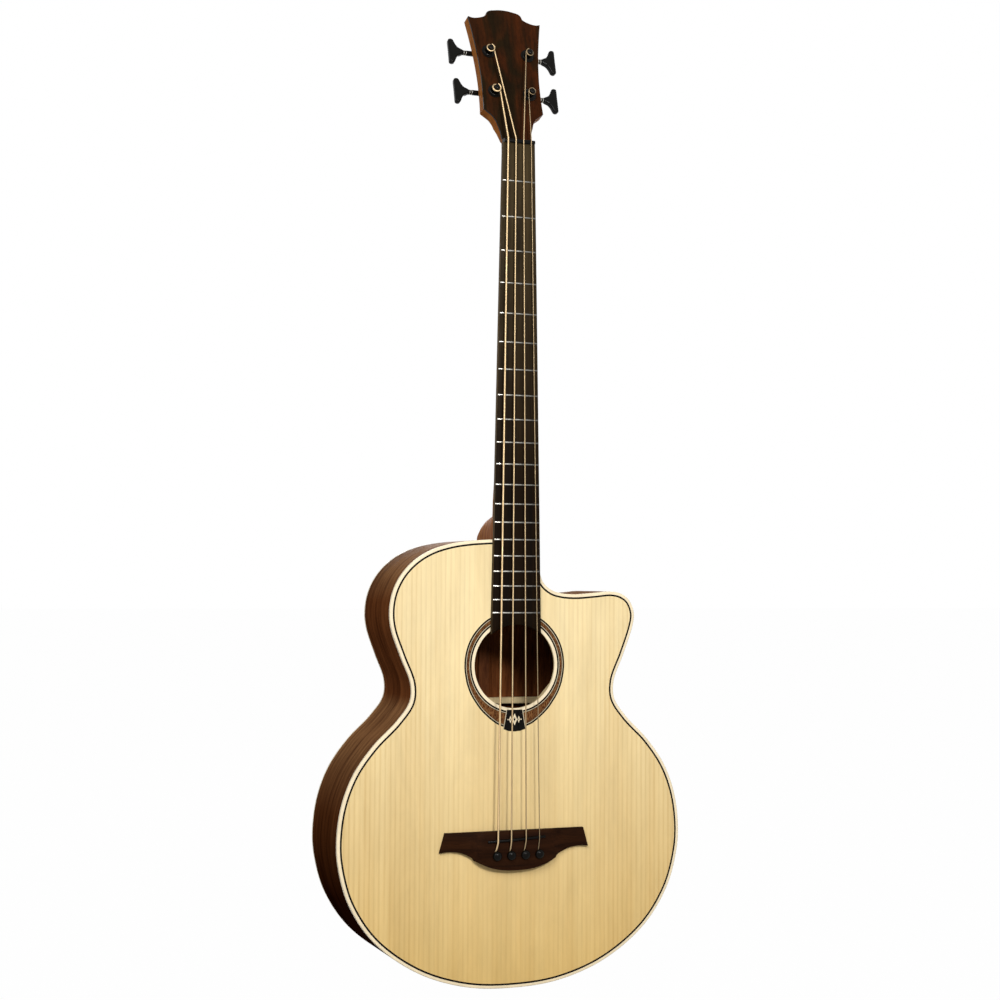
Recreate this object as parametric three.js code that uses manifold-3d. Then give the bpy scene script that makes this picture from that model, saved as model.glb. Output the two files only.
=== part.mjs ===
// Acoustic bass guitar with a cutaway body, four strings and four geared tuners.
// Millimetres. The finished part stands on its strap button: +Z runs up the neck, the front faces -Y,
// and +X is the treble side. Inside the instrument group the nut's lower edge is at Z = 0 and the
// soundboard's face lies on Y = 0.
import * as THREE from 'three';
import { mergeVertices } from 'three/addons/utils/BufferGeometryUtils.js';
import Module from 'manifold-3d';

const wasm = await Module();
wasm.setup();

// Driving dimensions of the whole instrument
const scaleLength = 864;
const bodyLength = 555;
const lowerBoutWidth = 454.8;
const waistWidth = 270;
const upperBoutWidth = 327.8;
const tailDepth = 118;
const shoulderDepth = 106;
const backArchRadius = 5200;
const seam = 0.3;
const overrun = 5;
const semitones = 12;

// Plates, sides, linings and binding
const topThickness = 3;
const backThickness = 3.2;
const sideThickness = 2.5;
const liningWidth = 7;
const liningHeight = 13;
const bindingWidth = 4.5;
const bindingHeight = 4;
const outlineSpacing = 22;
const foldShare = 0.97;
const archSteps = 8;

// Sound hole and rosette
const holeRadius = 53.9;
const holeBelowShoulder = 156.5;
const rosetteRadius = 66;
const rosetteDepth = 1.2;
const plaqueTopWidth = 20;
const plaqueBottomWidth = 28.8;
const plaqueHeight = 24;
const plaqueBulge = 3;
const plaqueFromHole = 1.9;
const ringSteps = 32;

// Neck, fretboard and frets
const fretCount = 20;
const jointFret = 15;
const nutWidth = 42.8;
const boardEndWidth = 65;
const boardThickness = 6.75;
const boardRadius = 400;
const boardOverhang = 3;
const boardSteps = 3;
const neckThicknessNut = 14.4;
const neckThicknessHeel = 17.5;
const heelHalfWidth = 14;
const heelNoseHeight = 90;
const fretCrownWidth = 2.7;
const fretHeight = 1.1;
const fretTangWidth = 0.7;
const fretTangDepth = 1.8;
const fretEndInset = 0.5;
const nutLength = 5;
const nutAboveBoard = 2.6;
const rodRadius = 3;
const rodEndCover = 14;

// Headstock
const headTilt = THREE.MathUtils.degToRad(15.6);
const headLength = 190.4;
const headHalfWidth = 49.8;
const headThickness = 16;
const veneerThickness = 1.5;
const headFaceSetback = 1.8;

// Bridge, saddle and pins
const saddleCompensation = 7.8;
const saddleSlant = 3.9;
const saddleLength = 76;
const saddleThickness = 3;
const saddleSlotDepth = 4.5;
const saddleCrownDrop = 1.3;
const bridgeHalfWidth = 98.9;
const bridgeHeight = 48.7;
const bridgeAboveSaddle = 10.4;
const bridgeThickness = 9;
const bridgeWingThickness = 4.2;
const pinsBelowSaddle = 19.5;
const pinHeadRadius = 5.8;
const pinHeadHeight = 5.4;
const pinShankRadius = 3.2;
const pinTipRadius = 2.6;
const pinLength = 21;
const pinSteps = 12;

// Strings, from the lowest pitch on the bass side to the highest on the treble side
const stringNames = ['e', 'a', 'd', 'g'];
const stringDiameters = [2.5, 2.0, 1.65, 1.15];
const windingTurns = [2.1, 2.1, 2.1, 2.6];
const nutStringSpacing = 10.5;
const bridgeStringSpacing = 18.8;
const nutAction = 0.6;
const twelfthFretAction = 2.8;
const windingGap = 0.45;
const stringSides = 6;
const windingSteps = 24;
const ballEndBelowPlate = 2;

// Tuners: the post's axis is the tuner's own Z, the key's shaft runs along its X
const upperPostOffset = 26.8;
const upperPostRise = 125.8;
const lowerPostOffset = 24;
const lowerPostRise = 68.5;
const postRadius = 3.5;
const postCapRadius = 4.2;
const postCapThickness = 1.6;
const bushRadius = 5.4;
const bushBore = 3.9;
const washerRadius = 9;
const washerThickness = 1.3;
const bushNutRadius = 7.4;
const bushHeight = 3;
const gearTeeth = 14;
const gearPitchRadius = 4.9;
const wormPitchRadius = 2.1;
const toothHeight = 1.05;
const toothTipShare = 0.22;
const toothRootShare = 0.42;
const gearWidth = 3.4;
const wormTurns = 3;
const wormSteps = 10;
const boreSteps = 14;
const housingWall = 1.2;
const shaftRadius = 1.7;
const bossRadius = 3.4;
const bossLength = 22.9;
const keyStart = 25.5;
const keyLength = 21.6;
const keyHalfHeight = 17.4;
const keyThickness = 8;
const keyRingRadius = 3.5;
const keyRingLength = 2.2;

// Braces, blocks, bridge plate and strap button
const braceWidth = 8;
const braceHeight = 14;
const braceGableShare = 0.55;
const crossPlaceShare = 0.767;
const shoulderBarAboveHole = 67;
const toneBarShares = [0.119, 0.398];
const toneBarDropShare = 0.533;
const backBraceHeight = 13;
const backStripWidth = 16;
const backStripThickness = 2.4;
const backBraceShares = [0.155, 0.39, 0.628, 0.835];
const bridgePlateToBrace = 10;
const bridgePlateHeight = 56;
const bridgePlateThickness = 2.6;
const neckBlockHalfWidth = 40;
const neckBlockLength = 62;
const tailBlockHalfWidth = 45;
const tailBlockLength = 20;
const buttonLength = 10;
const buttonRadius = 7;
const buttonWaistRadius = 4.4;
const buttonFlange = 2.6;
const buttonShankRadius = 4.2;
const buttonShankLength = 15;

// Places that follow from the sizes above
const fretDistance = (fret) => scaleLength * (1 - 2 ** (-fret / semitones));
const shoulderZ = -fretDistance(jointFret);
const tailZ = shoulderZ - bodyLength;
const holeZ = shoulderZ - holeBelowShoulder;
const saddleZ = -scaleLength - saddleCompensation;
const boardTop = -seam - boardThickness;
const fretTop = boardTop - fretHeight;
const boardWidthAt = (z) =>
  nutWidth + ((boardEndWidth - nutWidth) * -z) / fretDistance(fretCount);
const depthAt = (z) =>
  tailDepth + ((shoulderDepth - tailDepth) * (z - tailZ)) / bodyLength;
const archDrop = (x, radius) => x ** 2 / (2 * radius);
const maxHalfWidth = Math.max(lowerBoutWidth, upperBoutWidth, waistWidth) / 2 + overrun;
const liningInset = sideThickness + liningWidth;
const pinZ = saddleZ - pinsBelowSaddle;
const stringIndexes = stringNames.map((_, index) => index);
const stringOffset = (index, spacing) => (index - (stringNames.length - 1) / 2) * spacing;

// Finishes
const finish = (color, roughness, metalness = 0) =>
  new THREE.MeshStandardMaterial({ color, roughness, metalness });
const spruce = finish(0xe3c48d, 0.45);
const darkMahogany = finish(0x41200f, 0.35);
const redMahogany = finish(0x5a2d1a, 0.5);
const neckWood = finish(0x8a5a3a, 0.45);
const rosewood = finish(0x2e211b, 0.5);
const headWood = finish(0x2a1712, 0.4);
const paleBinding = finish(0xf0deb4, 0.4);
const braceWood = finish(0xdcc59b, 0.7);
const blackPlastic = finish(0x0b0b0b, 0.3);
const blackMetal = finish(0x101010, 0.35, 0.6);
const fretMetal = finish(0xc9c6be, 0.3, 0.9);
const bronze = finish(0xc39a63, 0.35, 0.9);
const steel = finish(0x8c8c8c, 0.4, 0.9);

// Solids and meshes
function solid(geometry) {
  const bare = geometry.clone();
  bare.deleteAttribute('normal');
  bare.deleteAttribute('uv');
  const merged = mergeVertices(bare, 1e-4);
  return new wasm.Manifold(new wasm.Mesh({
    numProp: 3,
    vertProperties: merged.attributes.position.array,
    triVerts: new Uint32Array(merged.index.array),
  }));
}

function geometryOf(manifold) {
  const mesh = manifold.getMesh();
  const geometry = new THREE.BufferGeometry();
  geometry.setAttribute('position', new THREE.BufferAttribute(mesh.vertProperties, mesh.numProp));
  geometry.setIndex(new THREE.BufferAttribute(mesh.triVerts, 1));
  geometry.computeVertexNormals();
  return geometry;
}

function piece(name, manifold, material) {
  const mesh = new THREE.Mesh(geometryOf(manifold), material);
  mesh.name = name;
  return mesh;
}

function joined(solids) {
  return solids.reduce((sum, next) => sum.add(next));
}

function moved(manifold, matrix) {
  return solid(geometryOf(manifold).applyMatrix4(matrix));
}

// A closed surface through rings of points that match one to one
function loft(rings) {
  const count = rings[0].length;
  const points = rings.flat();
  const index = [];
  for (let ring = 0; ring < rings.length - 1; ring += 1) {
    for (let side = 0; side < count; side += 1) {
      const a = ring * count + side;
      const b = ring * count + ((side + 1) % count);
      index.push(a, b, b + count, a, b + count, a + count);
    }
  }
  const last = (rings.length - 1) * count;
  for (let side = 1; side < count - 1; side += 1) {
    index.push(0, side + 1, side, last, last + side, last + side + 1);
  }
  const geometry = new THREE.BufferGeometry().setFromPoints(points);
  geometry.setIndex(index);
  const made = solid(geometry);
  if (made.volume() > 0) return made;
  for (let corner = 0; corner < index.length; corner += 3) {
    [index[corner + 1], index[corner + 2]] = [index[corner + 2], index[corner + 1]];
  }
  geometry.setIndex(index);
  return solid(geometry);
}

const axesXZY = new THREE.Matrix4().makeRotationX(Math.PI / 2);
const axesYZX = new THREE.Matrix4().makeBasis(
  new THREE.Vector3(0, 1, 0),
  new THREE.Vector3(0, 0, 1),
  new THREE.Vector3(1, 0, 0),
);

function extruded(points, depth, holes = []) {
  const shape = new THREE.Shape(points.map(([x, y]) => new THREE.Vector2(x, y)));
  shape.holes = holes.map((hole) => new THREE.Path(hole.map(([x, y]) => new THREE.Vector2(x, y))));
  return new THREE.ExtrudeGeometry(shape, { depth, bevelEnabled: false });
}

// An outline in X and Z, taken from one depth to another
function slabXZ(points, yFrom, yTo) {
  const geometry = extruded(points, yTo - yFrom).applyMatrix4(axesXZY);
  return solid(geometry.translate(0, yTo, 0));
}

// An outline in Y and Z, taken from one side to another
function slabYZ(points, xFrom, xTo) {
  const geometry = extruded(points, xTo - xFrom).applyMatrix4(axesYZX);
  return solid(geometry.translate(xFrom, 0, 0));
}

// An outline in X and Y, taken from one height to another
function slabXY(points, zFrom, zTo) {
  return solid(extruded(points, zTo - zFrom).translate(0, 0, zFrom));
}

function block(x, y, z) {
  const geometry = new THREE.BoxGeometry(x[1] - x[0], y[1] - y[0], z[1] - z[0]);
  geometry.translate((x[0] + x[1]) / 2, (y[0] + y[1]) / 2, (z[0] + z[1]) / 2);
  return solid(geometry);
}

// A turned shape about Z from pairs of radius and height
function turned(profile, steps) {
  const points = profile.map(([radius, height]) => new THREE.Vector2(radius, height));
  return solid(new THREE.LatheGeometry(points, steps).rotateX(Math.PI / 2));
}

function rod(radius, from, to, steps) {
  return turned([[0, from], [radius, from], [radius, to], [0, to]], steps);
}

const alongX = new THREE.Matrix4().makeRotationY(Math.PI / 2);
const alongMinusY = new THREE.Matrix4().makeRotationX(Math.PI / 2);
const shifted = (x, y, z) => new THREE.Matrix4().makeTranslation(x, y, z);

// The body's outline, as shares of a bout's half width and of the body's length
const lowerHalf = lowerBoutWidth / 2;
const waistHalf = waistWidth / 2;
const upperHalf = upperBoutWidth / 2;
const tailToWaistShares = [
  [lowerHalf, 0.275, 0.0096],
  [lowerHalf, 0.549, 0.0482],
  [lowerHalf, 0.792, 0.1203],
  [lowerHalf, 0.931, 0.203],
  [lowerHalf, 0.989, 0.2797],
  [lowerHalf, 1.002, 0.336],
  [lowerHalf, 0.979, 0.4137],
  [lowerHalf, 0.913, 0.4842],
  [lowerHalf, 0.805, 0.545],
  [lowerHalf, 0.674, 0.598],
  [waistHalf, 1.014, 0.64],
  [waistHalf, 1.008, 0.679],
  [waistHalf, 1.106, 0.7392],
  [upperHalf, 0.986, 0.8],
];
const bassShoulderShares = [
  [upperHalf, 1, 0.8383],
  [upperHalf, 0.977, 0.88],
  [upperHalf, 0.913, 0.9182],
  [upperHalf, 0.81, 0.9508],
  [upperHalf, 0.678, 0.9745],
  [upperHalf, 0.528, 0.9888],
  [upperHalf, 0.372, 0.9963],
  [upperHalf, 0.209, 1],
];
const cutawayShares = [
  [upperHalf, 0.191, 1],
  [upperHalf, 0.194, 0.9493],
  [upperHalf, 0.229, 0.9066],
  [upperHalf, 0.303, 0.8871],
  [upperHalf, 0.385, 0.8799],
  [upperHalf, 0.506, 0.8775],
  [upperHalf, 0.66, 0.8808],
  [upperHalf, 0.807, 0.8843],
  [upperHalf, 0.884, 0.88],
  [upperHalf, 0.949, 0.8685],
  [upperHalf, 0.988, 0.8507],
  [upperHalf, 1.004, 0.829],
];

function bodyOutline() {
  const place = (side) => ([half, xShare, zShare]) =>
    new THREE.Vector3(side * half * xShare, tailZ + bodyLength * zShare, 0);
  const points = [
    ...cutawayShares.map(place(1)),
    ...tailToWaistShares.map(place(1)).reverse(),
    new THREE.Vector3(0, tailZ, 0),
    ...tailToWaistShares.map(place(-1)),
    ...bassShoulderShares.map(place(-1)),
  ];
  const curve = new THREE.CatmullRomCurve3(points, false, 'centripetal');
  const last = points.length - 1;
  const corners = points.slice(0, last).flatMap((point, index) => {
    const steps = Math.max(1, Math.round(point.distanceTo(points[index + 1]) / outlineSpacing));
    return Array.from({ length: steps }, (_, step) => curve.getPoint((index + step / steps) / last));
  });
  return [...corners, points[last]].map(({ x, y }) => [x, y]);
}

const outline = bodyOutline();

function distanceToOutline(point) {
  const at = new THREE.Vector3(...point, 0);
  const line = new THREE.Line3();
  const nearest = new THREE.Vector3();
  return Math.min(...outline.map((corner, index) => {
    const next = outline[(index + 1) % outline.length];
    line.set(new THREE.Vector3(...corner, 0), new THREE.Vector3(...next, 0));
    return line.closestPointToPoint(at, true, nearest).distanceTo(at);
  }));
}

// The outline moved inwards, each corner along the line that halves it, without what folds over
function insetOutline(inset) {
  const count = outline.length;
  const normal = (from, to) => {
    const length = Math.hypot(to[0] - from[0], to[1] - from[1]);
    return [(from[1] - to[1]) / length, (to[0] - from[0]) / length];
  };
  const corners = outline.map((point, index) => {
    const before = normal(outline[(index + count - 1) % count], point);
    const after = normal(point, outline[(index + 1) % count]);
    const scale = inset / (1 + before[0] * after[0] + before[1] * after[1]);
    return [point[0] - (before[0] + after[0]) * scale, point[1] - (before[1] + after[1]) * scale];
  });
  return corners.filter((corner) => distanceToOutline(corner) >= Math.abs(inset) * foldShare);
}

const prism = (inset, yFrom, yTo) => slabXZ(insetOutline(inset), yFrom, yTo);
const fullDepth = Math.max(tailDepth, shoulderDepth) + overrun;
const ring = (outer, inner, yFrom, yTo) =>
  prism(outer, yFrom, yTo).subtract(prism(inner, yFrom - overrun, yTo + overrun));

// A prism with an arched face: it runs along Z, crowned by the radius, from the face to a far plane
function archedPrism(radius, faceY, farY, halfWidth, zFrom, zTo) {
  const towardsFar = Math.sign(farY - faceY);
  const face = Array.from({ length: archSteps + 1 }, (_, index) => {
    const x = halfWidth * ((2 * index) / archSteps - 1);
    return [x, faceY + towardsFar * archDrop(x, radius)];
  });
  return slabXY([[-halfWidth, farY], ...face, [halfWidth, farY]], zFrom, zTo);
}

// All that lies in front of the back's outer face, moved forwards by an inset
function frontOfBack(inset) {
  const slope = (shoulderDepth - tailDepth) / bodyLength;
  const zFrom = tailZ - overrun;
  const flat = archedPrism(
    backArchRadius, depthAt(zFrom) - inset, -fullDepth, maxHalfWidth, zFrom, shoulderZ + overrun,
  );
  const shear = new THREE.Matrix4().set(
    1, 0, 0, 0,
    0, 1, slope, -slope * zFrom,
    0, 0, 1, 0,
    0, 0, 0, 1,
  );
  return moved(flat, shear);
}

const backOuter = frontOfBack(0);
const backInner = frontOfBack(backThickness + seam);
const plateInset = bindingWidth + seam;

// Points of a circle in the plane of the soundboard
const circle = (radius, z, steps) => Array.from({ length: steps }, (_, index) => {
  const angle = (2 * Math.PI * index) / steps;
  return [radius * Math.cos(angle), z + radius * Math.sin(angle)];
});

const holeCut = slabXZ(circle(holeRadius, holeZ, ringSteps), -overrun, topThickness + overrun);

// The rosette's edge: a share of the half turn from straight below the hole, a share of its radius
const rosetteShares = [
  [0, 1.186],
  [0.089, 1.163],
  [0.133, 1.13],
  [0.178, 1.098],
  [0.222, 1.074],
  [0.267, 1.052],
  [0.33, 1.035],
  [0.41, 1.017],
  [0.5, 1.011],
  [0.7, 1.004],
  [1, 1],
];

function rosetteOutline(grow) {
  const place = (side) => ([turnShare, radiusShare]) => {
    const angle = turnShare * Math.PI;
    const radius = rosetteRadius * radiusShare + grow;
    return new THREE.Vector3(side * radius * Math.sin(angle), holeZ - radius * Math.cos(angle), 0);
  };
  const treble = rosetteShares.map(place(1));
  const bass = rosetteShares.slice(1, -1).map(place(-1)).reverse();
  const curve = new THREE.CatmullRomCurve3([...treble, ...bass], true, 'centripetal');
  return curve.getPoints(ringSteps).slice(1).map(({ x, y }) => [x, y]);
}

function rosetteSolid(grow) {
  const plaqueTopZ = holeZ - holeRadius - plaqueFromHole;
  const plaqueBottomZ = plaqueTopZ - plaqueHeight;
  const disc = slabXZ(rosetteOutline(grow), -grow * overrun, rosetteDepth + grow);
  const plaque = slabXZ([
    [-plaqueTopWidth / 2 - grow, plaqueTopZ],
    [-plaqueBottomWidth / 2 - grow, plaqueBottomZ - grow],
    [0, plaqueBottomZ - plaqueBulge - grow],
    [plaqueBottomWidth / 2 + grow, plaqueBottomZ - grow],
    [plaqueTopWidth / 2 + grow, plaqueTopZ],
  ], -grow * overrun, rosetteDepth + grow);
  return disc.add(plaque).subtract(holeCut);
}

// Strings: where each one lies
const stringRadius = (index) => stringDiameters[index] / 2;
const bridgeTop = -seam - bridgeThickness;
const stringHoleZ = (index) => pinZ + pinShankRadius + seam + stringRadius(index);
const saddleSlope = saddleSlant / saddleLength;
const saddleTop = -(-fretTop + 2 * twelfthFretAction - nutAction);
const stringAtSaddle = (index) => {
  const x = stringOffset(index, bridgeStringSpacing);
  const y = saddleTop + archDrop(x, boardRadius) - stringRadius(index) - seam;
  return new THREE.Vector3(x, y, saddleZ + x * saddleSlope);
};
const stringAtNut = (index) => {
  const x = stringOffset(index, nutStringSpacing);
  const y = fretTop - nutAction + archDrop(x, boardRadius) - stringRadius(index);
  return new THREE.Vector3(x, y, nutLength);
};

// Pin and string holes through bridge, soundboard and bridge plate
function pinHoles() {
  const yFrom = bridgeTop - overrun;
  const yTo = topThickness + bridgePlateThickness + overrun;
  return joined(stringIndexes.flatMap((index) => {
    const x = stringOffset(index, bridgeStringSpacing);
    const halfSlot = stringRadius(index) + seam;
    const round = rod(pinShankRadius + seam, -yTo, -yFrom, pinSteps);
    const slotEnd = stringHoleZ(index) + halfSlot;
    return [
      moved(round, shifted(x, 0, pinZ).multiply(alongMinusY)),
      block([x - halfSlot, x + halfSlot], [yFrom, yTo], [pinZ, slotEnd]),
      block([x - halfSlot, x + halfSlot], [yFrom, bridgeTop / 2], [pinZ, slotEnd + pinShankRadius]),
    ];
  }));
}

const throughHoles = pinHoles();

// Body shell
const soundboard = prism(plateInset, 0, topThickness)
  .subtract(holeCut)
  .subtract(rosetteSolid(seam))
  .subtract(throughHoles);
const rosette = rosetteSolid(0);
const back = prism(plateInset, -overrun, fullDepth)
  .intersect(backOuter)
  .subtract(frontOfBack(backThickness));
const topBinding = ring(0, bindingWidth, 0, bindingHeight);
const backBinding = ring(0, bindingWidth, -overrun, fullDepth)
  .intersect(backOuter)
  .subtract(frontOfBack(bindingHeight));

const blockFront = topThickness + seam;
const neckBlockBox = (grow) => block(
  [-neckBlockHalfWidth - grow, neckBlockHalfWidth + grow],
  [blockFront - grow, fullDepth + grow],
  [shoulderZ - neckBlockLength - grow, shoulderZ + overrun],
);
const tailBlockBox = (grow) => block(
  [-tailBlockHalfWidth - grow, tailBlockHalfWidth + grow],
  [blockFront - grow, fullDepth + grow],
  [tailZ - overrun, tailZ + tailBlockLength + grow],
);
const buttonHole = moved(
  rod(buttonShankRadius + seam, tailZ - overrun, tailZ + tailBlockLength + overrun, boreSteps),
  shifted(0, tailDepth / 2, 0),
);
const insideSides = prism(sideThickness + seam, 0, fullDepth).intersect(backInner);
const blockRoom = prism(sideThickness, 0, fullDepth + overrun);
const insideLinings = prism(liningInset + seam, topThickness + seam, fullDepth).intersect(backInner);
const bindingRoom = ring(-overrun, plateInset, -overrun, bindingHeight + seam)
  .add(ring(-overrun, plateInset, 0, fullDepth).subtract(frontOfBack(bindingHeight + seam)));
const neckBlock = insideSides.intersect(neckBlockBox(0)).subtract(bindingRoom);
const tailBlock = insideSides.intersect(tailBlockBox(0)).subtract(bindingRoom).subtract(buttonHole);

function rim() {
  const lining = ring(sideThickness / 2, liningInset, blockFront, fullDepth)
    .subtract(ring(0, liningInset + seam, blockFront + liningHeight, fullDepth)
      .intersect(frontOfBack(backThickness + seam + liningHeight)))
    .subtract(neckBlockBox(seam).add(tailBlockBox(seam)).intersect(blockRoom));
  const wall = ring(0, sideThickness, blockFront, fullDepth);
  return wall.add(lining).intersect(backInner).subtract(bindingRoom).subtract(buttonHole);
}

const wholeRim = rim();
const halfSpace = (side) => block(
  side > 0 ? [seam / 2, maxHalfWidth] : [-maxHalfWidth, -seam / 2],
  [-overrun, fullDepth],
  [tailZ - overrun, shoulderZ + overrun],
);

// Bars with a gabled section, laid on a plane of constant depth
function bar(from, to, width, height, baseY) {
  const length = Math.hypot(to[0] - from[0], to[1] - from[1]);
  const angle = Math.atan2(to[1] - from[1], to[0] - from[0]);
  const section = [
    [baseY, -width / 2],
    [baseY, width / 2],
    [baseY + height * braceGableShare, width / 2],
    [baseY + height, 0],
    [baseY + height * braceGableShare, -width / 2],
  ];
  const straight = slabYZ(height > 0 ? section : section.reverse(), 0, length);
  const turn = new THREE.Matrix4().makeRotationY(-angle);
  return moved(straight, shifted(from[0], 0, from[1]).multiply(turn));
}

// Half the body's width at a height, on the bass side
function halfWidthAt(z) {
  return -Math.min(...outline.map(([x, height], index) => {
    const [nextX, nextHeight] = outline[(index + 1) % outline.length];
    const share = (z - height) / (nextHeight - height);
    return share >= 0 && share <= 1 ? x + (nextX - x) * share : 0;
  }));
}

// The cross brace passes between the sound hole and the bridge plate. Its lower arms
// meet the linings where the last tone bar starts.
const plateCentreZ = saddleZ + bridgeAboveSaddle - bridgeHeight / 2;
const plateTopZ = plateCentreZ + bridgePlateHeight / 2;
const plateBottomZ = plateTopZ - bridgePlateHeight;
const crossZ = plateTopZ + (holeZ - holeRadius - plateTopZ) * crossPlaceShare;
const toneBarRoom = plateBottomZ - tailZ - tailBlockLength;
const toneBarZ = toneBarShares.map((share) => plateBottomZ - share * toneBarRoom);
const lastToneBarZ = Math.min(...toneBarZ);
const crossSpread = (halfWidthAt(lastToneBarZ) - liningInset) / (crossZ - lastToneBarZ);
const shoulderBarZ = holeZ + shoulderBarAboveHole;

function topBracing() {
  const arms = [1, -1].flatMap((side) => [shoulderBarZ, tailZ].map((endZ) => {
    const end = [side * Math.abs(endZ - crossZ) * crossSpread, endZ];
    return bar([0, crossZ], end, braceWidth, braceHeight, blockFront);
  }));
  const toneBars = toneBarZ.map((startZ) => {
    const start = [-(crossZ - startZ) * crossSpread, startZ];
    const end = [lowerHalf / 4, startZ - toneBarDropShare * toneBarRoom];
    return bar(start, end, braceWidth, braceHeight, blockFront);
  });
  const fingerZ = crossZ - waistHalf / 2;
  const fingers = [1, -1].map((side) => bar(
    [side * (crossZ - fingerZ) * crossSpread, fingerZ],
    [side * lowerHalf, fingerZ - waistHalf / 4],
    braceWidth, braceHeight, blockFront,
  ));
  return joined([
    ...arms,
    bar([-upperHalf, shoulderBarZ], [upperHalf, shoulderBarZ], braceWidth, braceHeight, blockFront),
    ...toneBars,
    ...fingers,
  ]).intersect(insideLinings);
}

function bridgePlate() {
  const half = (crossZ - plateTopZ) * crossSpread - braceWidth - bridgePlateToBrace;
  const plate = block(
    [-half, half],
    [blockFront, blockFront + bridgePlateThickness],
    [plateBottomZ, plateTopZ],
  );
  return plate.subtract(throughHoles);
}

function backBracing() {
  const bars = backBraceShares.map((share) => {
    const z = tailZ + bodyLength * share;
    const base = depthAt(z);
    return bar([-lowerHalf, z], [lowerHalf, z], braceWidth, -backBraceHeight - backThickness, base);
  });
  const strip = block(
    [-backStripWidth / 2, backStripWidth / 2],
    [0, fullDepth],
    [tailZ + tailBlockLength + seam, shoulderZ - neckBlockLength - seam],
  ).subtract(frontOfBack(backThickness + seam + backStripThickness));
  return joined([strip, ...bars]).intersect(insideLinings);
}

function strapButton() {
  const flangeTop = buttonFlange;
  const seat = buttonLength - seam;
  const profile = [
    [0, 0],
    [buttonRadius, 0],
    [buttonRadius, flangeTop],
    [buttonWaistRadius, flangeTop + buttonFlange / 2],
    [buttonWaistRadius, seat - buttonFlange],
    [buttonRadius, seat - buttonFlange / 3],
    [buttonRadius, seat],
    [buttonShankRadius, seat],
    [buttonShankRadius, seat + buttonShankLength],
    [0, seat + buttonShankLength],
  ];
  return moved(turned(profile, boreSteps), shifted(0, tailDepth / 2, tailZ - buttonLength));
}

// Fretboard and frets
const boardEndZ = holeZ + holeRadius - boardOverhang;

function fretboard() {
  const zEnd = holeZ;
  const half = (z) => boardWidthAt(z) / 2;
  const taper = [[-half(0), -seam], [-half(zEnd), zEnd], [half(zEnd), zEnd], [half(0), -seam]];
  const blank = slabXZ(taper, boardTop, -seam);
  const crowned = archedPrism(boardRadius, boardTop, overrun, boardEndWidth, zEnd - overrun, overrun);
  const hollow = slabXZ(
    circle(boardEndZ - holeZ, holeZ, ringSteps), boardTop - overrun, overrun,
  );
  const slots = joined(Array.from({ length: fretCount }, (_, index) => {
    const z = -fretDistance(index + 1);
    const halfSlot = fretTangWidth / 2 + seam / 2;
    return block(
      [-boardEndWidth, boardEndWidth],
      [boardTop - overrun, boardTop + fretTangDepth + archDrop(half(z), boardRadius) + seam],
      [z - halfSlot, z + halfSlot],
    );
  }));
  return blank.intersect(crowned).subtract(hollow).subtract(slots);
}

function fret(number) {
  const z = -fretDistance(number);
  const length = boardWidthAt(z) - 2 * fretEndInset;
  const seat = boardTop - seam / 2;
  const section = [
    [seat, fretCrownWidth / 2],
    [fretTop, fretCrownWidth / 5],
    [fretTop, -fretCrownWidth / 5],
    [seat, -fretCrownWidth / 2],
    [seat, -fretTangWidth / 2],
    [boardTop + fretTangDepth, -fretTangWidth / 2],
    [boardTop + fretTangDepth, fretTangWidth / 2],
    [seat, fretTangWidth / 2],
  ];
  const shape = new THREE.Shape(section.map(([y, zLocal]) => new THREE.Vector2(y, zLocal)));
  const run = { depth: length, steps: boardSteps, bevelEnabled: false };
  const geometry = new THREE.ExtrudeGeometry(shape, run);
  geometry.applyMatrix4(axesYZX).translate(-length / 2, 0, z);
  const position = geometry.attributes.position;
  for (let index = 0; index < position.count; index += 1) {
    const drop = archDrop(position.getX(index), boardRadius);
    position.setY(index, position.getY(index) + drop);
  }
  return solid(geometry);
}

// Neck: a shaft of rounded section, a heel and the headstock's core
function roundedSection(halfWidth, thickness, squareness, steps, place) {
  return Array.from({ length: steps + 1 }, (_, index) => {
    const angle = (Math.PI * index) / steps;
    const across = Math.abs(Math.cos(angle)) ** (2 / squareness) * Math.sign(Math.cos(angle));
    const deep = Math.sin(angle) ** (2 / squareness);
    return place(halfWidth * across, thickness * deep);
  });
}

const sectionSteps = 12;
const headFaceZ = nutLength;
const headMatrix = new THREE.Matrix4()
  .makeTranslation(0, headFaceSetback, headFaceZ)
  .multiply(new THREE.Matrix4().makeRotationX(Math.PI / 2 - headTilt));
const coreFront = -veneerThickness - seam;
const coreThickness = headThickness - veneerThickness - seam;

// Half widths as shares of the head's half width, rises as shares of its length
const headOutlineShares = [
  [0.418, 0],
  [0.424, 0.04],
  [0.444, 0.08],
  [0.474, 0.105],
  [0.52, 0.145],
  [0.6, 0.178],
  [0.7, 0.2],
  [0.815, 0.2227],
  [0.803, 0.28],
  [0.795, 0.37],
  [0.799, 0.47],
  [0.822, 0.57],
  [0.862, 0.68],
  [0.905, 0.765],
  [0.948, 0.84],
  [1, 0.9215],
  [0.9, 0.915],
  [0.78, 0.917],
  [0.62, 0.929],
  [0.515, 0.944],
  [0.484, 0.967],
  [0.406, 0.984],
  [0.26, 0.993],
  [0.12, 0.999],
];
// Rows of the throat between neck and headstock: rise, half width, squareness of the section
const throatShares = [
  [-0.07, 0.414, 2.4],
  [0, 0.418, 3],
  [0.06, 0.432, 5],
  [0.105, 0.474, 9],
  [0.145, 0.52, 16],
];

function headOutline(fromShare) {
  const rows = headOutlineShares.filter(([, rise]) => rise >= fromShare);
  const right = rows.map(([x, rise]) => [x * headHalfWidth, rise * headLength]);
  const left = right.map(([x, rise]) => [-x, rise]).reverse();
  return [...right, [0, headLength], ...left];
}

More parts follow.
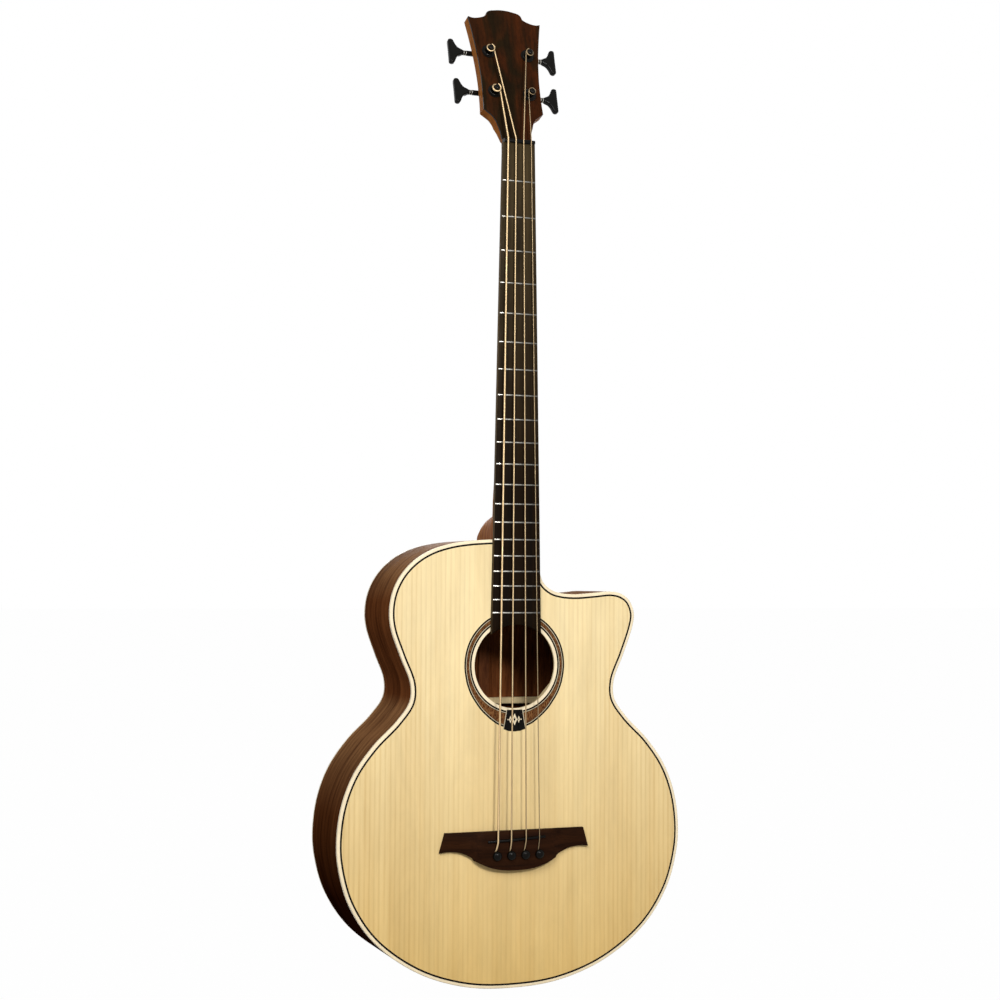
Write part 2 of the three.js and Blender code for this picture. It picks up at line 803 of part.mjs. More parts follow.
function headSlab(fromShare, front, thickness) {
  return solid(extruded(headOutline(fromShare), thickness).translate(0, 0, front - thickness));
}

function throat() {
  return loft(throatShares.map(([rise, half, squareness]) => {
    const place = (across, deep) =>
      new THREE.Vector3(across, rise * headLength, coreFront - deep);
    return roundedSection(half * headHalfWidth, coreThickness, squareness, sectionSteps, place);
  }));
}

const heelShares = [
  [0.005, 0.97, 0.78],
  [0.11, 0.94, 1],
  [0.165, 0.91, 0.89],
  [0.21, 0.885, 0.71],
  [0.275, 0.84, 0.56],
  [0.36, 0.785, 0.46],
  [0.49, 0.695, 0.39],
  [0.65, 0.61, 0.35],
  [0.82, 0.54, 0.31],
  [0.94, 0.49, 0.25],
  [1, 0.455, 0.19],
];

function heel() {
  const heelDepth = shoulderDepth - backThickness;
  const boardHalf = boardWidthAt(shoulderZ) / 2;
  return loft(heelShares.map(([depthShare, widthShare, noseShare]) => {
    const taperWidth = Math.max(heelHalfWidth, boardHalf * widthShare);
    const place = (across, rise) =>
      new THREE.Vector3(across, heelDepth * depthShare, shoulderZ + seam + rise);
    return roundedSection(taperWidth, heelNoseHeight * noseShare, 2.5, sectionSteps, place);
  }));
}

function neckShaft() {
  const rows = [
    [shoulderZ + seam, neckThicknessHeel],
    [nutLength, neckThicknessNut],
  ];
  return loft(rows.map(([z, thickness]) => {
    const place = (across, deep) => new THREE.Vector3(across, deep, z);
    const half = boardWidthAt(Math.min(z, 0)) / 2;
    return roundedSection(half, thickness, 2.5, sectionSteps, place);
  }));
}

const rodDepth = rodRadius + seam;
const rodFrom = shoulderZ + rodEndCover;
const rodTo = -rodEndCover;
const rodChannel = block(
  [-rodRadius - seam, rodRadius + seam],
  [-overrun, 2 * rodRadius + 2 * seam],
  [rodFrom - seam, rodTo + seam],
);
const trussRod = moved(rod(rodRadius, rodFrom, rodTo, sectionSteps), shifted(0, rodDepth, 0));

function neck(bushHoles) {
  const head = throat().add(headSlab(throatShares[3][0], coreFront, coreThickness));
  return neckShaft().add(heel()).subtract(rodChannel).add(moved(head.subtract(bushHoles), headMatrix));
}

function nut() {
  const half = nutWidth / 2;
  const top = boardTop - nutAboveBoard;
  const crowned = archedPrism(boardRadius, top, overrun, boardEndWidth, -overrun, nutLength + overrun);
  const blank = block([-half, half], [top, -seam], [0, nutLength - seam]).intersect(crowned);
  const slots = joined(stringIndexes.map((index) => {
    const { x, y } = stringAtNut(index);
    const halfSlot = stringRadius(index) + seam;
    const run = [-overrun, nutLength + overrun];
    return block([x - halfSlot, x + halfSlot], [top - overrun, y + halfSlot], run);
  }));
  return blank.subtract(slots);
}

// Bridge and saddle
const bridgeOutlineShares = [
  [0.931, 0],
  [1, 0.49],
  [0.91, 0.47],
  [0.81, 0.478],
  [0.72, 0.513],
  [0.625, 0.595],
  [0.56, 0.668],
  [0.546, 0.723],
  [0.505, 0.764],
  [0.4, 0.865],
  [0.28, 0.943],
  [0.14, 0.988],
];
const bridgeProfileShares = [
  [0.475, 1],
  [0.52, 0.8],
  [0.58, 0.6],
  [0.66, 0.49],
  [0.78, 0.45],
];

function bridge() {
  const topZ = saddleZ + bridgeAboveSaddle;
  const right = bridgeOutlineShares.map(([x, drop]) => [x * bridgeHalfWidth, topZ - drop * bridgeHeight]);
  const left = right.map(([x, z]) => [-x, z]).reverse();
  const blank = slabXZ([...left, ...right, [0, topZ - bridgeHeight]].reverse(), bridgeTop, -seam);
  const wing = [
    ...bridgeProfileShares.map(([x, y]) => [x * bridgeHalfWidth, -seam - y * bridgeThickness]),
    [bridgeHalfWidth + overrun, -seam - bridgeWingThickness * 0.8],
    [bridgeHalfWidth + overrun, overrun],
  ];
  const profile = [...wing.map(([x, y]) => [-x, y]).reverse(), ...wing];
  const carved = slabXY(profile.reverse(), topZ - bridgeHeight - overrun, topZ + overrun);
  const slot = saddleBar(seam, bridgeTop - overrun, bridgeTop + saddleSlotDepth);
  return blank.intersect(carved).subtract(slot).subtract(throughHoles);
}

function saddleTurn() {
  const angle = Math.atan(saddleSlope);
  return shifted(0, 0, saddleZ).multiply(new THREE.Matrix4().makeRotationY(-angle));
}

function saddleBar(grow, yFrom, yTo) {
  const half = saddleLength / 2 + grow;
  const thick = saddleThickness / 2 + grow;
  return moved(block([-half, half], [yFrom, yTo], [-thick, thick]), saddleTurn());
}

function saddle() {
  const half = saddleLength / 2;
  const thick = saddleThickness / 2;
  const foot = bridgeTop + saddleSlotDepth - seam;
  const crest = [
    [foot, -thick],
    [foot, thick],
    [saddleTop + saddleCrownDrop / 2, thick],
    [saddleTop, 0],
    [saddleTop + saddleCrownDrop / 4, -thick / 2],
    [saddleTop + saddleCrownDrop, -thick],
  ];
  const crowned = archedPrism(boardRadius, saddleTop, foot + overrun, half + overrun, -overrun, overrun);
  return moved(slabYZ(crest.reverse(), -half, half).intersect(crowned), saddleTurn());
}

function bridgePin(index) {
  const profile = [
    [0, -pinLength],
    [pinTipRadius, -pinLength],
    [pinShankRadius, 0],
    [pinHeadRadius * 0.8, 0],
    [pinHeadRadius, pinHeadHeight * 0.25],
    [pinHeadRadius * 0.88, pinHeadHeight * 0.65],
    [pinHeadRadius * 0.55, pinHeadHeight * 0.92],
    [0, pinHeadHeight],
  ];
  const x = stringOffset(index, bridgeStringSpacing);
  const seat = shifted(x, bridgeTop - seam, pinZ).multiply(alongMinusY);
  const halfSlot = stringRadius(index) + seam;
  const slot = block(
    [x - halfSlot, x + halfSlot],
    [bridgeTop - pinHeadHeight - overrun, bridgeTop + overrun],
    [pinZ + pinShankRadius, pinZ + pinHeadRadius + overrun],
  );
  return moved(turned(profile, pinSteps), seat).subtract(slot);
}

// Tuners, in the tuner's own frame: Z is the post's axis with 0 on the headstock's face
const gearPitch = (2 * Math.PI * gearPitchRadius) / gearTeeth;
const leadAngle = Math.atan(gearPitch / (2 * Math.PI * wormPitchRadius));
const wormRise = gearPitchRadius + wormPitchRadius;
const gearTipRadius = gearPitchRadius + toothHeight / 2;
const gearRootRadius = gearPitchRadius - toothHeight / 2 - seam / 2;
const wormTipRadius = wormPitchRadius + toothHeight / 2;
const wormRootRadius = wormPitchRadius - toothHeight / 2 - seam / 2;
const shaftDepth = headThickness + seam + housingWall / 2 + seam + wormTipRadius;
const washerSeat = seam;
const windingPitch = (index) => stringDiameters[index] + windingGap;
const windingHeight = (index) => windingTurns[index] * windingPitch(index) + stringDiameters[index];
const tallestWinding = Math.max(...stringIndexes.map(windingHeight));
const capFrom = bushHeight + tallestWinding + 2 * seam;

function gear() {
  const stepAngle = (2 * Math.PI) / gearTeeth;
  const points = Array.from({ length: gearTeeth }, (_, tooth) => {
    const middle = Math.PI / 2 + tooth * stepAngle;
    return [
      [gearRootRadius, -toothRootShare / 2],
      [gearTipRadius, -toothTipShare / 2],
      [gearTipRadius, toothTipShare / 2],
      [gearRootRadius, toothRootShare / 2],
    ].map(([radius, share]) => {
      const angle = middle + share * stepAngle;
      return [radius * Math.cos(angle), radius * Math.sin(angle)];
    });
  }).flat();
  const geometry = extruded(points, gearWidth).translate(0, 0, -gearWidth / 2);
  const position = geometry.attributes.position;
  const spin = new THREE.Vector3();
  const up = new THREE.Vector3(0, 0, 1);
  for (let index = 0; index < position.count; index += 1) {
    spin.fromBufferAttribute(position, index);
    spin.applyAxisAngle(up, (spin.z * Math.tan(leadAngle)) / gearPitchRadius);
    position.setXYZ(index, spin.x, spin.y, spin.z);
  }
  return solid(geometry).translate([0, 0, -shaftDepth]);
}

function tunerPost() {
  const foot = -shaftDepth - wormTipRadius;
  const stem = turned([
    [0, foot],
    [postRadius, foot],
    [postRadius, capFrom],
    [postCapRadius, capFrom],
    [postCapRadius, capFrom + postCapThickness * 0.6],
    [postCapRadius * 0.8, capFrom + postCapThickness],
    [0, capFrom + postCapThickness],
  ], sectionSteps);
  return stem.add(gear());
}

function wormThread() {
  const half = (gearPitch * wormTurns) / 2;
  const section = [
    [wormRootRadius * 0.8, -toothRootShare / 2],
    [wormTipRadius, -toothTipShare / 2],
    [wormTipRadius, toothTipShare / 2],
    [wormRootRadius * 0.8, toothRootShare / 2],
  ];
  const count = wormTurns * wormSteps;
  const rings = Array.from({ length: count + 1 }, (_, step) => {
    const angle = (2 * Math.PI * step) / wormSteps;
    const along = (gearPitch * step) / wormSteps - half;
    return section.map(([radius, share]) => new THREE.Vector3(
      along + share * gearPitch,
      -radius * Math.cos(angle),
      -radius * Math.sin(angle),
    ));
  });
  return loft(rings);
}

// The key's shaft at its own axis, X pointing out of the headstock's side
function keySolid() {
  const wormHalf = (gearPitch * (wormTurns + 1)) / 2;
  const turnedShaft = turned([
    [0, -wormHalf],
    [wormRootRadius, -wormHalf],
    [wormRootRadius, wormHalf],
    [shaftRadius, wormHalf],
    [shaftRadius, keyStart - keyRingLength],
    [keyRingRadius, keyStart - keyRingLength],
    [keyRingRadius, keyStart],
    [shaftRadius, keyStart + overrun],
    [0, keyStart + overrun],
  ], wormSteps);
  const halfShares = [
    [0, 0.17],
    [0.06, 0.16],
    [0.24, 0.235],
    [0.4, 0.33],
    [0.53, 0.52],
    [0.6, 0.69],
    [0.68, 0.89],
    [0.8, 1],
    [0.92, 0.95],
    [0.98, 0.83],
    [1, 0.6],
  ];
  const upper = halfShares.map(([along, height]) => [
    keyStart + along * keyLength,
    height * keyHalfHeight,
  ]);
  const lower = upper.map(([along, height]) => [along, -height]).reverse();
  const paddle = extruded([...upper, ...lower].reverse(), keyThickness).translate(0, 0, -keyThickness / 2);
  return moved(turnedShaft, alongX).add(wormThread()).add(solid(paddle));
}

function housingCavity() {
  const room = 2 * seam;
  const gearRoom = rod(gearTipRadius + room, -gearWidth / 2 - room, gearWidth / 2 + room, boreSteps);
  const wormHalf = (gearPitch * (wormTurns + 1)) / 2 + room;
  const wormRoom = moved(rod(wormTipRadius + seam, -wormHalf, wormHalf, sectionSteps), alongX);
  return gearRoom.translate([0, 0, -shaftDepth]).add(wormRoom.translate([0, wormRise, -shaftDepth]));
}

function housing() {
  const reach = gearTipRadius + 2 * seam + housingWall;
  const rise = wormRise + wormTipRadius + seam + housingWall;
  const wormHalf = (gearPitch * (wormTurns + 1)) / 2 + 2 * seam + housingWall;
  const corner = housingWall * 1.5;
  const half = Math.max(reach, wormHalf);
  const footprint = [
    [half - corner, -reach],
    [half, -reach + corner],
    [half, rise - corner],
    [half - corner, rise],
    [-half + corner, rise],
    [-half, rise - corner],
    [-half, -reach + corner],
    [-half + corner, -reach],
  ];
  const front = -headThickness - seam;
  const rear = -shaftDepth - wormTipRadius - seam - housingWall;
  const shell = solid(extruded(footprint, front - rear).translate(0, 0, rear));
  const boss = moved(rod(bossRadius, 0, bossLength, sectionSteps), alongX)
    .translate([0, wormRise, -shaftDepth]);
  const shaftBore = moved(rod(shaftRadius + seam, 0, bossLength + overrun, sectionSteps), alongX)
    .translate([0, wormRise, -shaftDepth]);
  const bush = turned([
    [0, front - seam],
    [bushRadius, front - seam],
    [bushRadius, washerSeat],
    [washerRadius, washerSeat],
    [washerRadius, washerSeat + washerThickness],
    [bushNutRadius, washerSeat + washerThickness],
    [bushNutRadius * 0.94, bushHeight],
    [0, bushHeight],
  ], boreSteps);
  const postBore = rod(bushBore, rear + housingWall, bushHeight + overrun, boreSteps);
  return shell.add(boss).add(bush).subtract(postBore).subtract(housingCavity()).subtract(shaftBore);
}

const tunerPlaces = [
  { side: -1, offset: lowerPostOffset, rise: lowerPostRise },
  { side: -1, offset: upperPostOffset, rise: upperPostRise },
  { side: 1, offset: upperPostOffset, rise: upperPostRise },
  { side: 1, offset: lowerPostOffset, rise: lowerPostRise },
];

function bushHolesSolid() {
  return joined(tunerPlaces.map(({ side, offset, rise }) =>
    rod(bushRadius + seam, -headThickness - overrun, overrun, boreSteps)
      .translate([side * offset, rise, 0])));
}

// A string's tube along its points, with the ring turned as little as possible from point to point
function tube(points, radius) {
  const tangent = (index) => {
    const before = points[Math.max(index - 1, 0)];
    const after = points[Math.min(index + 1, points.length - 1)];
    return after.clone().sub(before).normalize();
  };
  let across = new THREE.Vector3(1, 0, 0);
  const rings = points.map((point, index) => {
    const along = tangent(index);
    across = across.clone().addScaledVector(along, -across.dot(along)).normalize();
    const deep = along.clone().cross(across);
    return Array.from({ length: stringSides }, (_, side) => {
      const angle = (2 * Math.PI * side) / stringSides;
      return point.clone()
        .addScaledVector(across, radius * Math.cos(angle))
        .addScaledVector(deep, radius * Math.sin(angle));
    });
  });
  return loft(rings);
}

// The winding in the headstock's frame: it starts where the string meets the post and climbs it
function windingPoints(index, arrival) {
  const { side, offset, rise } = tunerPlaces[index];
  const radius = postRadius + seam + stringRadius(index);
  const centre = new THREE.Vector2(side * offset, rise);
  const away = new THREE.Vector2(arrival.x, arrival.y).sub(centre);
  const turnWay = -side;
  const start = away.angle() + turnWay * Math.acos(radius / away.length());
  const count = Math.round(windingTurns[index] * windingSteps);
  const floor = bushHeight + seam + stringRadius(index);
  return Array.from({ length: count + 1 }, (_, step) => {
    const angle = start + (turnWay * 2 * Math.PI * step) / windingSteps;
    const height = floor + (windingPitch(index) * step) / windingSteps;
    return new THREE.Vector3(
      centre.x + radius * Math.cos(angle),
      centre.y + radius * Math.sin(angle),
      height,
    );
  });
}

// The least distance between a winding's neighbouring loops, less the string's own thickness
function windingClearance(points, diameter) {
  const gaps = points.flatMap((point, index) =>
    points.slice(index + windingSteps / 2).map((other) => point.distanceTo(other) - diameter));
  return Math.min(...gaps);
}

function string(index) {
  const radius = stringRadius(index);
  const diameter = stringDiameters[index];
  const x = stringOffset(index, bridgeStringSpacing);
  const z = stringHoleZ(index);
  const plateBack = blockFront + bridgePlateThickness;
  const atNut = stringAtNut(index);
  const arrival = atNut.clone().applyMatrix4(headMatrix.clone().invert());
  const winding = windingPoints(index, arrival);
  const gap = windingClearance(winding, diameter);
  console.log(`string ${stringNames[index]}: least gap in its winding ${gap.toFixed(2)} mm`);
  return tube([
    new THREE.Vector3(x, plateBack + ballEndBelowPlate, z),
    new THREE.Vector3(x, bridgeTop + radius, z),
    new THREE.Vector3(x, bridgeTop - radius / 3, z + radius / 3),
    new THREE.Vector3(x, bridgeTop - radius - seam, z + diameter),
    stringAtSaddle(index),
    atNut.clone().setZ(0),
    atNut,
    ...winding.map((point) => point.applyMatrix4(headMatrix)),
  ], radius);
}

// Assembly
const instrument = new THREE.Group();
instrument.position.set(0, -tailDepth / 2, buttonLength - tailZ);

const bushHoles = bushHolesSolid();
instrument.add(
  piece('soundboard', soundboard, spruce),
  piece('rosette', rosette, redMahogany),
  piece('back', back, darkMahogany),
  piece('side_bass', wholeRim.intersect(halfSpace(-1)), darkMahogany),
  piece('side_treble', wholeRim.intersect(halfSpace(1)), darkMahogany),
  piece('top_binding', topBinding, paleBinding),
  piece('back_binding', backBinding, paleBinding),
  piece('neck_block', neckBlock, redMahogany),
  piece('tail_block', tailBlock, redMahogany),
  piece('top_bracing', topBracing(), braceWood),
  piece('back_bracing', backBracing(), braceWood),
  piece('bridge_plate', bridgePlate(), rosewood),
  piece('strap_button', strapButton(), blackPlastic),
  piece('neck', neck(bushHoles), neckWood),
  piece('truss_rod', trussRod, steel),
  piece('fretboard', fretboard(), rosewood),
  piece('nut', nut(), blackPlastic),
  piece('bridge', bridge(), rosewood),
  piece('saddle', saddle(), blackPlastic),
);
for (let number = 1; number <= fretCount; number += 1) {
  instrument.add(piece(`fret_${String(number).padStart(2, '0')}`, fret(number), fretMetal));
}
for (const index of stringIndexes) {
  instrument.add(
    piece(`bridge_pin_${stringNames[index]}`, bridgePin(index), blackPlastic),
    piece(`string_${stringNames[index]}`, string(index), bronze),
  );
}

const headstock = new THREE.Group();
headstock.position.set(0, headFaceSetback, headFaceZ);
headstock.rotation.x = Math.PI / 2 - headTilt;
const veneerStart = seam + veneerThickness * Math.tan(headTilt);
const veneer = headSlab(0, 0, veneerThickness).subtract(bushHoles).trimByPlane([0, 1, 0], veneerStart);
headstock.add(piece('headstock_veneer', veneer, headWood));
instrument.add(headstock);

tunerPlaces.forEach(({ side, offset, rise }, index) => {
  const tuner = new THREE.Group();
  tuner.position.set(side * offset, rise, 0);
  tuner.scale.x = side;
  const key = piece(`tuner_key_${stringNames[index]}`, keySolid(), blackMetal);
  key.position.set(0, wormRise, -shaftDepth);
  tuner.add(
    piece(`tuner_housing_${stringNames[index]}`, housing(), blackMetal),
    piece(`tuner_post_${stringNames[index]}`, tunerPost(), blackMetal),
    key,
  );
  headstock.add(tuner);
});

const guitar = new THREE.Group();
guitar.add(instrument);

export default guitar;
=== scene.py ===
"""Acoustic bass guitar with a cutaway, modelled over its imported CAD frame.

Tables and shapes are in millimetres in the instrument's own frame: the nut's lower edge is at Z 0,
the soundboard's face at Y 0, and X runs to the treble side. TO_FRAME takes them to the frame.
"""
import math

import bmesh
import bpy
from mathutils import Matrix, Vector


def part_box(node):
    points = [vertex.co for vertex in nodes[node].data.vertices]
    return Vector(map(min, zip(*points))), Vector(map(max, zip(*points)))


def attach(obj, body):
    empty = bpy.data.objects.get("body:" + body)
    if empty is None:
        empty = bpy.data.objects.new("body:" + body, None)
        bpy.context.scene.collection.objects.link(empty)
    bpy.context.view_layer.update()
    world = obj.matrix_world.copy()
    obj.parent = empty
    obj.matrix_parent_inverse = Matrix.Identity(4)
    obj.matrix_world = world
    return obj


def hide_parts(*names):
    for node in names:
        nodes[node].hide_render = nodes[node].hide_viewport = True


bl_info = {
    "name": "Acoustic bass guitar",
    "version": (1, 0, 0),
    "blender": (4, 5, 0),
    "location": "3D View > Sidebar > Bass guitar",
    "description": "Models a four-string acoustic bass guitar, piece by piece",
    "category": "Object",
}

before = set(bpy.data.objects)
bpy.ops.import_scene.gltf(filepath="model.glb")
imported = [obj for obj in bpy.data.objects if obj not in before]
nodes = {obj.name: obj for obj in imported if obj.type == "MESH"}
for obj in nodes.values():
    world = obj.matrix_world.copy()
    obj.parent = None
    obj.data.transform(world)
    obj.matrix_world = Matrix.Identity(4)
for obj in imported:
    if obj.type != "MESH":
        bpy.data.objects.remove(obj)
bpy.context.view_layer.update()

# Distance between the points of the finer curves, and of the headstock's edge
FINE_STEP, HEAD_STEP = 2, 3

# Where the instrument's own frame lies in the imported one
MM = 0.001
TO_FRAME = Matrix.Translation((0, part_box("soundboard")[0].y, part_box("nut")[0].z))
TO_FRAME = TO_FRAME @ Matrix.Diagonal((MM, MM, MM, 1))
HEAD_TILT = math.radians(15.6)
HEAD_SETBACK = 1.8
NUT_LENGTH = 5
TO_HEAD = TO_FRAME @ Matrix.Translation((0, HEAD_SETBACK, NUT_LENGTH))
TO_HEAD = TO_HEAD @ Matrix.Rotation(math.pi / 2 - HEAD_TILT, 4, "X")

# Body
LOWER_HALF, WAIST_HALF, UPPER_HALF = 227.4, 135, 163.9
BODY_LENGTH = 555
SHOULDER_Z = -500.73
TAIL_Z = SHOULDER_Z - BODY_LENGTH
TAIL_DEPTH, SHOULDER_DEPTH, BACK_DOME = 118, 106, 8
BACK_ARCH_RADIUS = 5200
TOP_THICKNESS, BACK_THICKNESS, SIDE_THICKNESS = 3, 3.2, 2.5
GLUE_LINE = 0.05
INLAY_GAP, INLAY_PROUD = 0.02, 0.02
BACK_CUT_ACROSS, BACK_CUT_ALONG = 16, 18.5
LINING_WIDTH, LINING_DEPTH, LINING_FLAT = 7, 13, 4
# Back braces: places as shares of the body's length, heights by steps from either end
BACK_BRACES = [0.155, 0.39, 0.6255, 0.835]
BRACE_STEPS, BRACE_LINE_STEP, BRACE_END_GAP = 24, 8, 8
BRACE_HALF, BRACE_CREST_HALF, BRACE_SHOULDER = 4, 3, 1
BRACE_HEIGHTS = [(0, 2), (1, 5), (3, 13), (24, 13)]
STRIP_START, STRIP_LENGTH, STRIP_STEPS = 21, BODY_LENGTH - 85, 40
STRIP_HALF, STRIP_CREST_HALF, STRIP_THICKNESS = 8, 7, 2.4
HOLE_Z = SHOULDER_Z - 156.5
HOLE_RADIUS = 53.6
TAIL_TO_WAIST = [
    (LOWER_HALF, 0.275, 0.0096), (LOWER_HALF, 0.549, 0.0482), (LOWER_HALF, 0.792, 0.1203),
    (LOWER_HALF, 0.931, 0.203), (LOWER_HALF, 0.989, 0.2797), (LOWER_HALF, 1.002, 0.336),
    (LOWER_HALF, 0.979, 0.4137), (LOWER_HALF, 0.913, 0.4842), (LOWER_HALF, 0.805, 0.545),
    (LOWER_HALF, 0.674, 0.598), (WAIST_HALF, 1.014, 0.64), (WAIST_HALF, 1.008, 0.679),
    (WAIST_HALF, 1.106, 0.7392), (UPPER_HALF, 0.986, 0.8),
]
BASS_SHOULDER = [
    (1, 0.8383), (0.977, 0.88), (0.913, 0.9182), (0.81, 0.9508),
    (0.678, 0.9745), (0.528, 0.9888), (0.372, 0.9963), (0.209, 1),
]
CUTAWAY = [
    (0.191, 1), (0.194, 0.9493), (0.229, 0.9066), (0.303, 0.8871), (0.385, 0.8799), (0.506, 0.8775),
    (0.66, 0.8808), (0.807, 0.8843), (0.884, 0.88), (0.949, 0.8685), (0.988, 0.8507), (1.004, 0.829),
]
# Rosette: the outer edge as a share of the half turn from straight below, and of the radius
ROSETTE_RADIUS = 66
ROSETTE_DEPTH = 1.2
ROSETTE_EDGE = [
    (0, 1.2), (0.089, 1.167), (0.133, 1.133), (0.178, 1.1), (0.222, 1.076), (0.267, 1.052),
    (0.311, 1.041), (0.356, 1.03), (0.41, 1.019), (0.5, 1.015), (0.6, 1.018), (0.7, 1.021),
    (0.83, 1.026), (1, 1.026),
]

# Neck, fretboard and frets
SCALE_LENGTH = 864
FRET_COUNT = 20
NUT_WIDTH, BOARD_END_WIDTH = 42.8, 65
BOARD_TOP = -7.05
BOARD_RADIUS = 400
BOARD_OVERHANG = 3
BOARD_ROUNDING = 0.5
FRET_HEIGHT, FRET_SINK, FRET_END_GAP = 1.1, 0.1, 0.3
# Dressed end of a fret: share of its half length and of its height, from the middle outwards
FRET_END = [(0.35, 1), (0.7, 1), (0.94, 1), (0.975, 0.85), (1, 0.3)]
FRET_ROUND_STEPS = 8
SEAM = 0.3

# Heel and neck: fretboard-side point, back point, half width, all from the shoulder upwards
NECK_ROWS = [
    ((0.3, 102.5), (17, 102.8), 14), ((0.3, 93.6), (23.5, 95.8), 15.1), ((0.3, 82), (28.5, 84.6), 16.4),
    ((0.3, 63.8), (31.8, 69.6), 18.8), ((0.3, 46), (34.5, 55.4), 21.6), ((0.3, 28), (38, 41.6), 24.8),
    ((0.3, 14.6), (43, 32.6), 27.2), ((0.3, 4), (50, 26.6), 29), ((18, 0), (57, 23.2), 29.6),
    ((40, 0), (66, 20.2), 29.6), ((62, 0), (76, 18.4), 28.7), ((85, 0), (89, 17.6), 27.7),
    ((110, 0), (110, 17.2), 26.2), ((300, 0), (300, 16), 24), ((486, 0), (486, 14.5), 20.6),
]
NECK_SQUARENESS = 2.1
NECK_SECTION_STEPS = 24
# Neck under the nut: depth and height of its front and back point, and half its width
NECK_END_FRONT, NECK_END_BACK, NECK_END_HALF = (0, NUT_LENGTH - 0.2), (16.2, 1), 20.7
VENEER_BACK, HEAD_CORE_FRONT, HEAD_CORE_BACK = -0.5, -2.8, -16
VENEER_START, VENEER_ROUNDING, HEAD_CORE_ROUNDING = 1.2, 0.2, 1.2
# Throat: rise up the headstock, half width, squareness of the section
THROAT_ROWS = [(2, 20.2, 3), (8, 20.5, 5), (15.2, 22.1, 9), (22, 24.9, 14), (27.6, 25.9, 20)]
HEAD_LENGTH, HEAD_HALF = 190.4, 49.8
HEAD_NECK_SIDE = [
    (0.405, 0), (0.412, 0.04), (0.44, 0.08), (0.474, 0.105), (0.52, 0.145), (0.6, 0.178),
    (0.7, 0.2), (0.815, 0.2227),
]
HEAD_FLANK = [
    (0.815, 0.2227), (0.803, 0.28), (0.795, 0.37), (0.799, 0.47), (0.822, 0.57), (0.862, 0.68),
    (0.905, 0.765), (0.948, 0.84), (1, 0.9215),
]
HEAD_CREST = [
    (1, 0.9215), (0.89, 0.914), (0.746, 0.918), (0.608, 0.93), (0.51, 0.945), (0.481, 0.967),
    (0.406, 0.984), (0.26, 0.993), (0.12, 0.999), (0, 1),
]

# Nut, bridge, saddle and pins
NUT_RISE, NUT_HALF = 2.6, NUT_WIDTH / 2 - 0.7
NUT_STEP, NUT_END_STEP = 2, 0.3
GROOVE_CLEARANCE = 0.12
GROOVE_SHARES = (-1.01, -0.99, -0.8, -0.4, 0, 0.4, 0.8, 0.99, 1.01)
# Rounded top of the nut and the saddle: share of the half thickness and of the shoulder
BAR_TOP = [(1, 1), (0.75, 0.25), (0.35, 0)]
NUT_SHOULDER, SADDLE_SHOULDER = 0.8, 1.3
SADDLE_Z = -871.8
SADDLE_TOP = BOARD_TOP - FRET_HEIGHT - 5
SADDLE_FOOT, SADDLE_THICKNESS, SADDLE_STEPS = -5, 3, 12
SADDLE_ANGLE = math.atan(3.9 / 76)
SADDLE_HALF_LENGTH = 38
BRIDGE_TOP_Z = SADDLE_Z + 10.4
BRIDGE_HALF, BRIDGE_LENGTH, BRIDGE_THICKNESS = 98.9, 48.7, 9
BRIDGE_CUT, BRIDGE_ROUNDING = 3, 0.7
BRIDGE_EDGE = [
    (0.931, 0), (1, 0.49), (0.91, 0.47), (0.81, 0.478), (0.72, 0.513), (0.625, 0.595),
    (0.56, 0.668), (0.546, 0.723), (0.505, 0.764), (0.4, 0.865), (0.28, 0.943), (0.14, 0.988), (0, 1),
]
BRIDGE_PROFILE = [(0, 1), (0.47, 1), (0.52, 0.8), (0.58, 0.6), (0.66, 0.49), (0.78, 0.44), (1.1, 0.41)]
BRIDGE_EASE = 0.015
PIN_Z = SADDLE_Z - 19.5
# Pin: radius and height of the stem, and of the head's foot as shares of its radius
PIN_STEM = [(0, -20), (2.3, -20), (2.6, -19), (3.1, 0)]
PIN_HEAD_FOOT = [(0.82, 0), (0.97, 0.4)]
PIN_DOME_START, PIN_DOME_HEIGHT, PIN_DOME_STEPS = 1.6, 3.6, 8

# Strings, from the bass side to the treble side: name, thickness and turns round the post
STRINGS = [("e", 2.5, 1.2), ("a", 2.0, 1.2), ("d", 1.65, 1.2), ("g", 1.15, 1.6)]
STRING_SIDES = 12
NUT_SPACING, NUT_SHIFT, NUT_CLEARANCE = 10.5, -0.4, 0.6
BRIDGE_SPACING = 18.8
SADDLE_SHIFTS, SADDLE_REST = (2, 0.6, 1.5, 1), 1.2
PIN_SHIFT, STRING_BESIDE_PIN = 2.2, 2
PIN_HOLE_AHEAD, BALL_DEPTH, PIN_BEND_SHARE = 3.2, 7.9, 0.85
TURN_STEPS, TURN_GAP = 36, 0.3

# Tuners: side, place across and place up the headstock
TUNERS = [(-1, 24, 68.5), (-1, 26.8, 125.8), (1, 26.8, 125.8), (1, 24, 68.5)]
POST_RADIUS = 3.5
POST_TOP = 11.9
BOX_LOW, BOX_HIGH, BOX_ROUNDING = (-6.5, -7.4, -23.95), (6.5, 11.4, -16.2), 1.4
SHAFT_DEPTH, SHAFT_RISE = 19.825, 7
BOSS_LENGTH, KEY_START = 22.9, 25.5
KEY_LENGTH, KEY_HALF_HEIGHT, KEY_HALF_THICKNESS = 21.6, 17.4, 4
KEY_ROUNDING, KEY_STEP = 2.2, 1.2


def srgb(*values):
    """A colour as a picture shows it, 0 to 255, in the linear values that sockets take."""
    return tuple(((v / 255 + 0.055) / 1.055) ** 2.4 for v in values)


def length(name, default, description):
    """A length that a user may change, in metres."""
    return bpy.props.FloatProperty(
        name=name, description=description, default=default, min=0, unit="LENGTH", precision=5,
    )


